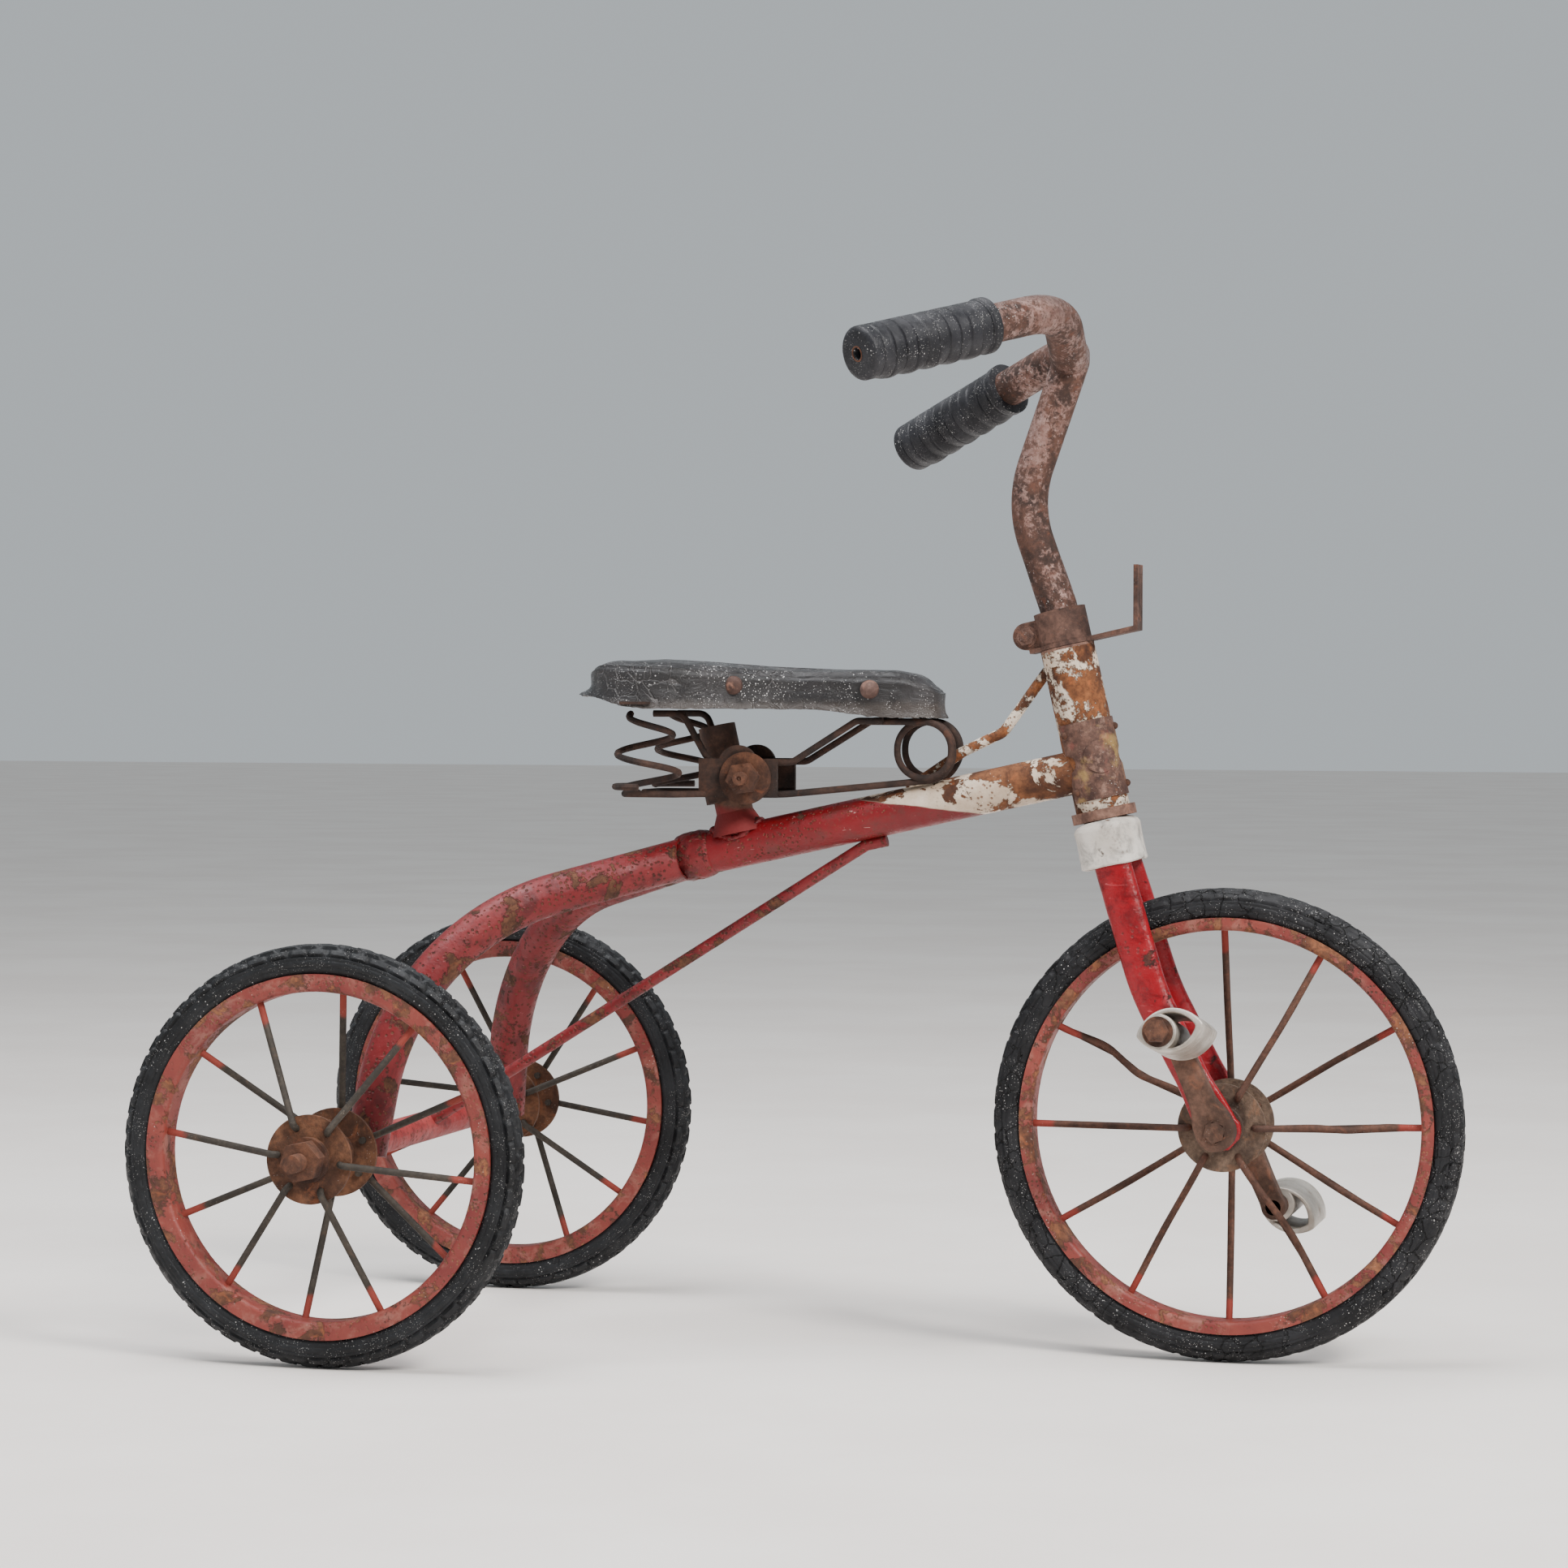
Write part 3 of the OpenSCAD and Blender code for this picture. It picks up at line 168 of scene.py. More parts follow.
def chipped(name, fresh, faded, rust_dark, rust_light, chips=0.56, pits=0.5, gloss=0.38, scale=1.0):
    """Old paint: fresh and faded tones, pitting, scratches, and chips down to rust."""
    g = Graph(name)
    tone = g.step(g.noise(16 * scale, 5, 0.55), 0.32, 0.68)
    paint = g.mix(tone, fresh, faded)
    soot = g.step(g.noise(70 * scale, 8, 0.7, 0.5), 0.46, 0.66)
    paint = g.mix(g.op("MULTIPLY", soot, 0.7), paint, tuple(c * 0.28 for c in fresh))
    rust = rust_color(g, rust_dark, rust_light, 1.4)
    field = g.noise(46 * scale, 10, 0.68, 0.35)
    chip = g.step(field, chips, chips + 0.025)
    pit_field = g.cells(330 * scale)
    pit_where = g.step(g.noise(30 * scale, 6, 0.6), 1 - pits, 1.2 - pits)
    pit = g.op("MULTIPLY", g.step(pit_field, 0.36, 0.2), pit_where)
    long_way = g.stretched(30, 420, 420)
    scratch = g.step(g.noise(1.0, 3, 0.6, 0.6, long_way), 0.68, 0.71)
    color = g.mix(g.op("MULTIPLY", scratch, 0.35), paint, tuple(min(1, c * 1.8 + 0.12) for c in faded))
    rim = g.op("SUBTRACT", g.step(field, chips - 0.02, chips), chip)
    color = g.mix(g.op("MULTIPLY", g.op("MAXIMUM", rim, 0.0), 0.45), color, tuple(c * 0.4 for c in faded))
    lost = g.op("MAXIMUM", chip, g.op("MULTIPLY", pit, 0.8))
    color = g.mix(lost, color, rust)
    color = g.mix(g.op("MULTIPLY", specks(g, 520, 0.28, 0.45), 0.5), color, (0.5, 0.42, 0.38))
    smear = g.step(g.noise(120 * scale, 6, 0.6), 0.3, 0.8)
    rough = g.blend(lost, g.blend(smear, gloss, gloss + 0.28), 0.9)
    orange = g.noise(180, 4, 0.5)
    heights = [(orange, 0.0004), (g.op("SUBTRACT", 1.0, lost), 0.0005), (g.noise(420, 6, 0.7), 0.00025)]
    return g.done(color, rough, 0.0, heights, 0.0, 0.35)


def main_tube_paint():
    """Red paint at the back of the tube and bare cream primer with rust at the front."""
    g = Graph("main_tube_paint")
    x, z = g.part_of(0), g.part_of(2)
    lift = g.op("SUBTRACT", z, g.op("ADD", g.op("MULTIPLY", x, 0.2235), 0.3076))
    wave = g.op("MULTIPLY", g.op("SUBTRACT", g.noise(22, 4, 0.5), 0.5), 0.022)
    edge = g.op("ADD", g.op("ADD", x, g.op("MULTIPLY", lift, 3.2)), wave)
    bare = g.step(edge, 0.054, 0.057)
    tone = g.step(g.noise(18, 5, 0.55), 0.3, 0.7)
    red = g.mix(tone, (0.19, 0.003, 0.006), (0.12, 0.003, 0.005))
    red = g.mix(g.op("MULTIPLY", g.step(g.noise(80, 8, 0.7), 0.46, 0.66), 0.6), red, (0.075, 0.018, 0.014))
    cream = g.mix(g.step(g.noise(60, 6, 0.6), 0.3, 0.7), (0.62, 0.52, 0.42), (0.42, 0.31, 0.22))
    rust = rust_color(g, (0.055, 0.02, 0.01), (0.2, 0.075, 0.03), 1.2)
    ahead = g.step(x, 0.1, 0.2)
    field = g.noise(40, 10, 0.66, 0.4)
    high = g.step(lift, 0.003, 0.011)
    shift = g.op("ADD", g.op("MULTIPLY", ahead, 0.13), g.op("MULTIPLY", high, 0.07))
    chip_cream = g.step(g.op("ADD", field, shift), 0.535, 0.555)
    chip_red = g.step(g.op("ADD", g.noise(34, 9, 0.66, 0.3), g.op("MULTIPLY", high, 0.05)), 0.6, 0.63)
    chip = g.blend(bare, chip_red, chip_cream)
    pits = g.op("MULTIPLY", g.step(g.cells(380), 0.34, 0.18), g.step(g.noise(26, 6, 0.6), 0.44, 0.62))
    scratch = g.step(g.noise(1.0, 3, 0.6, 0.8, g.stretched(60, 300, 520)), 0.7, 0.72)
    color = g.mix(bare, red, cream)
    color = g.mix(g.op("MULTIPLY", scratch, 0.55), color, (0.62, 0.38, 0.34))
    lost = g.op("MAXIMUM", chip, g.op("MULTIPLY", pits, 0.8))
    color = g.mix(lost, color, rust)
    color = g.mix(g.op("MULTIPLY", specks(g, 520, 0.28, 0.5), 0.55), color, (0.78, 0.72, 0.68))
    rough = g.blend(lost, g.blend(g.step(g.noise(120, 6, 0.6), 0.3, 0.8), 0.34, 0.62), 0.9)
    heights = [(g.noise(180, 4, 0.5), 0.0004), (g.op("SUBTRACT", 1.0, lost), 0.0006), (g.noise(420, 6, 0.7), 0.0003)]
    return g.done(color, rough, 0.0, heights, 0.0, 0.35)


def worn_plating():
    """Plated tube: brown rust, with speckled bright plating left on its outer faces."""
    g = Graph("worn_plating")
    rust = rust_color(g, (0.03, 0.012, 0.007), (0.11, 0.045, 0.028), 1.6)
    z = g.part_of(2)
    high = g.step(z, 0.44, 0.56)
    field = g.noise(210, 10, 0.78, 0.3)
    patch = g.noise(30, 6, 0.6)
    left = g.op("ADD", g.op("ADD", field, g.op("MULTIPLY", patch, 0.55)), g.op("MULTIPLY", high, 0.06))
    bright = g.step(left, 0.8, 0.93)
    pit = g.step(g.cells(420), 0.34, 0.2)
    bright = g.op("MULTIPLY", bright, g.op("SUBTRACT", 1.0, g.op("MULTIPLY", pit, 0.7)))
    plate = g.mix(g.step(g.noise(240, 5, 0.6), 0.3, 0.7), (0.36, 0.23, 0.2), (0.19, 0.1, 0.08))
    color = g.mix(bright, rust, plate)
    color = g.mix(g.op("MULTIPLY", specks(g, 560, 0.3, 0.55), 0.6), color, (0.8, 0.74, 0.72))
    rough = g.blend(bright, 0.78, 0.3)
    metal = g.blend(bright, 0.15, 0.85)
    heights = [(g.noise(60, 5, 0.5), 0.0006), (field, 0.0007), (g.noise(500, 6, 0.7), 0.0003)]
    return g.done(color, rough, metal, heights)


def rim_paint():
    g = Graph("rim_paint")
    tone = g.step(g.noise(26, 7, 0.6), 0.32, 0.68)
    paint = g.mix(tone, (0.2, 0.03, 0.019), (0.13, 0.011, 0.009))
    dusty = g.step(g.noise(75, 8, 0.68, 0.4), 0.48, 0.66)
    color = g.mix(g.op("MULTIPLY", dusty, 0.3), paint, (0.36, 0.19, 0.14))
    rust = rust_color(g, (0.07, 0.025, 0.014), (0.24, 0.09, 0.04), 1.3)
    lost = g.step(g.noise(58, 10, 0.68, 0.3), 0.525, 0.57)
    pits = g.op("MULTIPLY", g.step(g.cells(420), 0.36, 0.2), g.step(g.noise(26, 5, 0.6), 0.4, 0.6))
    lost = g.op("MAXIMUM", lost, pits)
    color = g.mix(lost, color, rust)
    color = g.mix(g.op("MULTIPLY", specks(g, 480, 0.3, 0.5), 0.5), color, (0.72, 0.62, 0.55))
    heights = [(g.noise(150, 6, 0.6), 0.0005), (g.op("SUBTRACT", 1.0, lost), 0.0005)]
    return g.done(color, g.blend(lost, 0.55, 0.9), 0.0, heights)


def rubber(name, base, worn, crack_depth=0.0012, crack_scale=75.0, cracks=0.5, dust=0.5, rough=0.62):
    """Old rubber: worn grey faces, a net of cracks, and pale dirt specks."""
    g = Graph(name)
    tone = g.step(g.noise(30, 7, 0.65), 0.34, 0.7)
    color = g.mix(tone, base, worn)
    grey = g.step(g.noise(190, 7, 0.7), 0.5, 0.72)
    color = g.mix(g.op("MULTIPLY", grey, 0.25), color, tuple(c * 2.0 for c in worn))
    bent = g.noise(60, 4, 0.6)
    offset = g.scaled(bent, 0.01, -0.008, 0.012)
    warp = g.add("ShaderNodeVectorMath", {0: g.where, 1: offset}, operation="ADD")
    net = g.cells(crack_scale, warp, "DISTANCE_TO_EDGE")
    crack = g.op("MULTIPLY", g.step(net, 0.05, 0.012), g.step(g.noise(24, 5, 0.6), 1 - cracks, 1.15 - cracks))
    color = g.mix(g.op("MULTIPLY", crack, 0.85), color, tuple(c * 0.2 for c in base))
    dots = g.op("MAXIMUM", specks(g, 420, 0.27, 0.55), g.op("MULTIPLY", specks(g, 900, 0.32, 0.6), 0.7))
    color = g.mix(g.op("MULTIPLY", dots, dust + 0.3), color, (0.72, 0.7, 0.68))
    film = g.op("MULTIPLY", g.upward(), g.step(g.noise(60, 6, 0.65), 0.3, 0.75))
    color = g.mix(g.op("MULTIPLY", film, dust * 0.28), color, (0.2, 0.195, 0.195))
    shade = g.blend(g.step(g.noise(90, 6, 0.6), 0.3, 0.75), rough - 0.12, rough + 0.2)
    heights = [
        (g.noise(130, 8, 0.7), 0.0006),
        (g.op("SUBTRACT", 1.0, crack), crack_depth),
        (g.noise(620, 5, 0.7), 0.0002),
    ]
    return g.done(color, shade, 0.0, heights, 0.0, 0.22)


def leather():
    """Cracked black cover: wrinkles along its length, a star of cracks, dirt and shine."""
    g = Graph("saddle_leather")
    tone = g.step(g.noise(26, 7, 0.65), 0.35, 0.7)
    color = g.mix(tone, (0.008, 0.007, 0.0075), (0.024, 0.021, 0.022))
    long_way = g.stretched(55, 90, 120)
    wrinkle = g.noise(1.0, 8, 0.62, 1.2, long_way)
    bent = g.noise(45, 4, 0.6)
    offset = g.scaled(bent, 0.02, 0.0, -0.016)
    warp = g.add("ShaderNodeVectorMath", {0: g.where, 1: offset}, operation="ADD")
    net = g.cells(85, warp, "DISTANCE_TO_EDGE")
    crack = g.op("MULTIPLY", g.step(net, 0.06, 0.01), g.step(g.noise(19, 5, 0.6), 0.42, 0.6))
    x, z = g.part_of(0), g.part_of(2)
    dx, dz = g.op("SUBTRACT", x, -0.098), g.op("SUBTRACT", z, 0.3905)
    angle = g.op("ADD", g.op("ARCTAN2", dz, dx), g.op("MULTIPLY", bent, 1.6))
    reach = g.op("SQRT", g.op("ADD", g.op("MULTIPLY", dx, dx), g.op("MULTIPLY", dz, dz)))
    rays = g.step(g.op("ABSOLUTE", g.op("SINE", g.op("MULTIPLY", angle, 3.5))), 0.22, 0.05)
    star = g.op("MULTIPLY", rays, g.step(reach, 0.02, 0.011))
    crack = g.op("MAXIMUM", crack, star)
    color = g.mix(g.op("MULTIPLY", crack, 0.4), color, (0.16, 0.15, 0.15))
    dots = g.op("MAXIMUM", specks(g, 380, 0.26, 0.55), g.op("MULTIPLY", specks(g, 820, 0.33, 0.62), 0.8))
    color = g.mix(dots, color, (0.78, 0.76, 0.75))
    dust = g.step(g.noise(140, 8, 0.72), 0.52, 0.75)
    color = g.mix(g.op("MULTIPLY", dust, 0.12), color, (0.16, 0.15, 0.16))
    low = g.step(g.op("SUBTRACT", z, g.op("MULTIPLY", g.noise(120, 5, 0.7), 0.006)), 0.3815, 0.375)
    color = g.mix(g.op("MULTIPLY", low, 0.3), color, (0.1, 0.075, 0.06))
    rough = g.blend(g.step(g.noise(60, 6, 0.6), 0.35, 0.7), 0.27, 0.55)
    heights = [(wrinkle, 0.0016), (g.op("SUBTRACT", 1.0, crack), 0.0011), (g.noise(520, 6, 0.75), 0.0003)]
    return g.done(color, rough, 0.0, heights, 0.0, 0.4)


def alloy():
    g = Graph("pedal_alloy")
    tone = g.step(g.noise(60, 6, 0.6), 0.3, 0.7)
    color = g.mix(tone, (0.5, 0.46, 0.41), (0.28, 0.24, 0.2))
    grime = g.step(g.noise(110, 8, 0.7, 0.4), 0.54, 0.68)
    color = g.mix(g.op("MULTIPLY", grime, 0.6), color, (0.2, 0.15, 0.11))
    rough = g.blend(grime, 0.42, 0.75)
    heights = [(g.noise(90, 6, 0.6), 0.0005), (g.noise(480, 6, 0.7), 0.0003)]
    return g.done(color, rough, g.blend(grime, 0.45, 0.1), heights)


def badge_metal():
    """Tarnished plate: brown, with traces of yellow and red enamel in its hollows."""
    g = Graph("badge_brass")
    color = rust_color(g, (0.05, 0.02, 0.014), (0.17, 0.085, 0.06), 1.2)
    rub = g.step(g.noise(150, 8, 0.7), 0.5, 0.66)
    color = g.mix(g.op("MULTIPLY", rub, 0.45), color, (0.36, 0.22, 0.17))
    gold = g.step(g.noise(42, 5, 0.6), 0.55, 0.66)
    color = g.mix(g.op("MULTIPLY", gold, 0.4), color, (0.5, 0.33, 0.09))
    lacquer = g.step(g.noise(34, 5, 0.6, 0.5), 0.58, 0.68)
    color = g.mix(g.op("MULTIPLY", lacquer, 0.4), color, (0.32, 0.06, 0.05))
    color = g.mix(g.op("MULTIPLY", specks(g, 560, 0.3, 0.5), 0.5), color, (0.8, 0.72, 0.66))
    heights = [(g.noise(160, 7, 0.65), 0.0007), (g.noise(520, 5, 0.7), 0.0003)]
    return g.done(color, g.blend(rub, 0.7, 0.42), g.blend(rub, 0.3, 0.75), heights)


def wire_paint(name, body, tip, centre, radius):
    """Rusted wire with red paint left close to the rim of its wheel."""
    g = Graph(name)
    color = rust_color(g, tuple(c * 0.5 for c in body), body, 1.6)
    dx = g.op("SUBTRACT", g.part_of(0), centre.x)
    dz = g.op("SUBTRACT", g.part_of(2), centre.z)
    reach = g.op("SQRT", g.op("ADD", g.op("MULTIPLY", dx, dx), g.op("MULTIPLY", dz, dz)))
    reach = g.op("ADD", reach, g.op("MULTIPLY", g.noise(70, 5, 0.6), 0.014))
    red = g.step(reach, radius, radius + 0.004)
    color = g.mix(g.op("MULTIPLY", red, 0.85), color, tip)
    color = g.mix(g.op("MULTIPLY", specks(g, 700, 0.3, 0.5), 0.35), color, (0.6, 0.52, 0.46))
    return g.done(color, 0.72, 0.25, [(g.noise(160, 7, 0.7), 0.0006), (g.noise(600, 5, 0.7), 0.0003)])


def post_paint():
    """The post is bare rusted steel above its weld and red below."""
    g = Graph("post_paint")
    z = g.op("ADD", g.part_of(2), g.op("MULTIPLY", g.noise(60, 5, 0.6), 0.008))
    bare = rust_color(g, (0.03, 0.012, 0.007), (0.11, 0.05, 0.03))
    color = g.mix(g.step(z, 0.324, 0.32), bare, (0.15, 0.008, 0.008))
    return g.done(color, 0.75, 0.1, [(g.noise(90, 6, 0.6), 0.0005), (g.noise(400, 6, 0.7), 0.0003)])


RUST_DARK, RUST_LIGHT = (0.036, 0.014, 0.008), (0.14, 0.055, 0.028)
look = {
    "red_paint": chipped("red_paint", (0.13, 0.003, 0.005), (0.16, 0.012, 0.013), RUST_DARK, RUST_LIGHT, 0.56, 0.74),
    "main_tube_paint": main_tube_paint(),
    "post_paint": post_paint(),
    "fork_paint": chipped(
        "fork_paint", (0.22, 0.002, 0.006), (0.28, 0.008, 0.014),
        (0.03, 0.01, 0.008), (0.09, 0.028, 0.02), 0.62, 0.5, 0.18,
    ),
    "pale_red": chipped("pale_red", (0.22, 0.015, 0.016), (0.28, 0.042, 0.04), RUST_DARK, RUST_LIGHT, 0.62, 0.55, 0.4),
    "cream_paint": chipped(
        "cream_paint", (0.64, 0.55, 0.45), (0.5, 0.38, 0.28),
        (0.045, 0.016, 0.008), (0.24, 0.085, 0.03), 0.485, 0.72, 0.42, 1.25,
    ),
    "collar_paint": chipped(
        "collar_paint", (0.62, 0.58, 0.53), (0.4, 0.35, 0.3),
        (0.09, 0.05, 0.035), (0.22, 0.13, 0.09), 0.6, 0.45, 0.5,
    ),
    "rim_paint": rim_paint(),
    "plating": worn_plating(),
    "rust": rusty("rust", RUST_DARK, RUST_LIGHT),
    "race": rusty("race", (0.085, 0.038, 0.027), (0.26, 0.14, 0.1), 0.45, 0.4),
    "clamp": rusty("clamp", (0.035, 0.015, 0.01), (0.14, 0.07, 0.05), 0.5, 0.4),
    "hub": rusty("hub", (0.045, 0.016, 0.007), (0.16, 0.065, 0.03), 0.4, 0.45, 0.0009),
    "hub_front": rusty("hub_front", (0.05, 0.028, 0.019), (0.17, 0.11, 0.075), 0.4, 0.6, 0.0012),
    "crank": rusty("crank", (0.05, 0.024, 0.015), (0.15, 0.075, 0.05), 0.45, 0.5, 0.0007),
    "dark_wire": rusty("dark_wire", (0.014, 0.007, 0.005), (0.06, 0.028, 0.018), 0.45, 0.12, 0.0004),
    "tyre_front": rubber("tyre_front", (0.006, 0.006, 0.007), (0.018, 0.018, 0.02), 0.0014, 95, 0.62, 0.35, 0.55),
    "tyre_rear": rubber("tyre_rear", (0.006, 0.0062, 0.007), (0.016, 0.017, 0.019), 0.0008, 130, 0.4, 0.25, 0.5),
    "grip": rubber("grip_rubber", (0.008, 0.008, 0.01), (0.026, 0.026, 0.03), 0.0004, 160, 0.35, 0.4, 0.42),
    "leather": leather(),
    "alloy": alloy(),
    "badge": badge_metal(),
    "rivet": rusty("rivet", (0.07, 0.035, 0.027), (0.24, 0.15, 0.125), 0.65, 0.3, 0.0003),
}
hub_front_at, hub_rear_at = Vector((FRONT_X, 0, FRONT_R)), Vector((REAR_X, 0, REAR_R))
look["spokes_front"] = wire_paint("spokes_front", (0.12, 0.05, 0.03), (0.26, 0.03, 0.02), hub_front_at, 0.106)
look["spokes_rear"] = wire_paint("spokes_rear", (0.055, 0.043, 0.032), (0.26, 0.035, 0.022), hub_rear_at, 0.086)

finish_of = {
    "red_paint": "joint_sleeve stay_right stay_left lower_brace",
    "main_tube_paint": "main_tube",
    "pale_red": "axle_tube",
    "fork_paint": "blade_right blade_left",
    "cream_paint": "head_tube upper_brace",
    "collar_paint": "fork_collar",
    "rim_paint": "front_rim rear_rim_right rear_rim_left",
    "plating": "stem crossbar",
    "race": "head_cup_upper head_cup_lower",
    "post_paint": "seat_post",
    "rust": "steerer badge_rivets rear_axle axle_washers axle_nuts axle_bushes "
    "spindle_nuts spindle_right spindle_left seat_nut seat_bolt",
    "crank": "crank_right crank_left front_axle",
    "clamp": "stem_clamp clamp_bolt lamp_bracket",
    "hub": "rear_hub_right rear_hub_left",
    "hub_front": "front_hub",
    "dark_wire": "clamp_block clamp_cheeks lower_rails upper_rails "
    "rear_spring_right rear_spring_left saddle_pan saddle_bridges",
    "spokes_front": "front_spokes",
    "spokes_rear": "rear_spokes_right rear_spokes_left",
    "tyre_front": "front_tyre",
    "tyre_rear": "rear_tyre_right rear_tyre_left",
    "grip": "grip_right grip_left",
    "leather": "saddle_cover",
    "alloy": "pedal_right pedal_left",
    "badge": "head_badge",
    "rivet": "saddle_rivets",
}
for finish, names in finish_of.items():
    for name in names.split():
        for held in nodes[name].material_slots:
            held.link = "OBJECT"
            held.material = look[finish]


# ---------- building pieces ----------
def piece(name, points, faces, finish, body, smooth=40):
    mesh = bpy.data.meshes.new(name)
    mesh.from_pydata([tuple(p) for p in points], [], [tuple(f) for f in faces])
    mesh.materials.append(look[finish])
    bm = bmesh.new()
    bm.from_mesh(mesh)
    bmesh.ops.remove_doubles(bm, verts=bm.verts, dist=1e-6)
    bmesh.ops.recalc_face_normals(bm, faces=bm.faces)
    bm.to_mesh(mesh)
    bm.free()
    obj = bpy.data.objects.new(name, mesh)
    bpy.context.scene.collection.objects.link(obj)
    mesh.shade_smooth()
    mesh.set_sharp_from_angle(angle=math.radians(smooth))
    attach(obj, body)
    return obj


def grid_faces(rows, cols, wrap_rows=False, wrap_cols=True):
    faces = []
    for i in range(rows if wrap_rows else rows - 1):
        for j in range(cols if wrap_cols else cols - 1):
            a, b = i * cols, ((i + 1) % rows) * cols
            k = (j + 1) % cols
            faces.append((a + j, a + k, b + k, b + j))
    return faces


def frames_along(path, up):
    """A steady side and up direction at every point of a path."""
    out = []
    side = None
    for i, p in enumerate(path):
        t = (path[min(i + 1, len(path) - 1)] - path[max(i - 1, 0)]).normalized()
        if side is None:
            side = t.cross(up).normalized()
        side = (side - t * side.dot(t)).normalized()
        out.append((p, side, t.cross(side).normalized()))
    return out


def sweep(path, outline, up=Vector((0, 0, 1)), caps=True):
    """Points and faces of an outline carried along a path. outline(i, n) gives its (side, up) pairs."""
    rings = frames_along(path, up)
    points, cols = [], None
    for i, (p, side, top) in enumerate(rings):
        pairs = outline(i, len(rings))
        cols = len(pairs)
        points += [p + side * a + top * b for a, b in pairs]
    faces = grid_faces(len(rings), cols)
    if caps:
        faces += [tuple(range(cols - 1, -1, -1)), tuple(range((len(rings) - 1) * cols, len(rings) * cols))]
    return points, faces


def rounded(points, radii, steps=12):
    """A route with its corners rounded, as a list of points."""
    out = [points[0]]
    for i in range(1, len(points) - 1):
        a = (points[i] - points[i - 1]).normalized()
        b = (points[i + 1] - points[i]).normalized()
        turn = a.angle(b)
        leg = radii[i - 1] * math.tan(turn / 2)
        n = (b - a * a.dot(b)).normalized()
        centre = points[i] - a * leg + n * radii[i - 1]
        for k in range(steps + 1):
            w = turn * k / steps
            out.append(centre - n * radii[i - 1] * math.cos(w) + a * radii[i - 1] * math.sin(w))
    out.append(points[-1])
    return out


def spaced(path, gap):
    """The same path with points no further apart than gap."""
    out = [path[0]]
    for p, q in zip(path, path[1:]):
        n = max(1, math.ceil((q - p).length / gap))
        out += [p.lerp(q, k / n) for k in range(1, n + 1)]
    return out


def ring(a, b, n, power=1.0):
    """A superellipse: power 1 is an ellipse, and smaller is squarer."""
    pairs = []
    for k in range(n):
        w = 2 * math.pi * k / n
        c, s = math.cos(w), math.sin(w)
        pairs.append((a * math.copysign(abs(c) ** power, c), b * math.copysign(abs(s) ** power, s)))
    return pairs


def smooth_step(x, low, high):
    t = min(1.0, max(0.0, (x - low) / (high - low)))
    return t * t * (3 - 2 * t)


# ---------- tyres ----------
def tyre(name, centre, radius, node, body, finish, blocks, depth, wear):
    """A solid tyre. Its tread is four staggered rows of blocks, worn unevenly."""
    around, across = blocks * 9, 84
    tube = TYRE_W / 2
    mean = radius - tube
    rows = [(-66, -36), (-32, -3), (3, 32), (36, 66)]
    points = []
    for i in range(around):
        w = 2 * math.pi * i / around
        out = Vector((math.cos(w), 0, math.sin(w)))
        for j in range(across):
            f = 360 * j / across - 180
            lift = 0.0
            if abs(f) < 70:
                spot = centre + out * radius + LEFT * (f * 0.0002)
                worn = smooth_step(noise.noise(spot * 28), 0.2 - wear, 0.5 - wear * 0.5)
                lift = -depth * (1 - 0.55 * worn)
                for row, (low, high) in enumerate(rows):
                    phase = (i / 9 + 0.5 * (row % 2) + 0.1 * noise.noise(spot * 60)) % 1
                    along = smooth_step(phase, 0.04, 0.12) * smooth_step(phase, 0.93, 0.85)
                    side = smooth_step(f, low, low + 5) * smooth_step(f, high, high - 5)
                    lift += depth * (1 - 0.55 * worn) * along * side * (1 - 0.3 * worn)
            elif 78 < abs(f) < 84 or 100 < abs(f) < 105:
                lift = -0.0004
            lift += 0.00012 * (noise.noise(Vector((w * 60, f * 0.1, radius * 50))) - 1)
            a = math.radians(f)
            points.append(centre + out * (mean + (tube + lift) * math.cos(a)) + LEFT * (tube + lift) * math.sin(a))
    obj = piece(name, points, grid_faces(around, across, True, True), finish, body, 50)
    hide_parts(node)


tyre("front_tread", hub_front_at, FRONT_R, "front_tyre", "front_wheel", "tyre_front", 62, 0.0011, 0.55)
for side, label in ((-1, "right"), (1, "left")):
    centre = hub_rear_at + LEFT * side * REAR_Y
    node, body = f"rear_tyre_{label}", f"rear_wheel_{label}"
    tyre(f"rear_tread_{label}", centre, REAR_R, node, body, "tyre_rear", 58, 0.0016, 0.1)

# ---------- fork ----------
def stack(name, origin, axis, side, top, levels, finish, slot, body, closed=True, smooth=40):
    """Rings of (side, top) pairs set along an axis: levels is a list of (distance, pairs)."""
    points = [origin + axis * s + side * a + top * b for s, pairs in levels for a, b in pairs]
    cols = len(levels[0][1])
    faces = grid_faces(len(levels), cols)
    if closed:
        faces += [tuple(range(cols - 1, -1, -1)), tuple(range((len(levels) - 1) * cols, len(levels) * cols))]
    return piece(name, points, faces, finish, body, smooth)


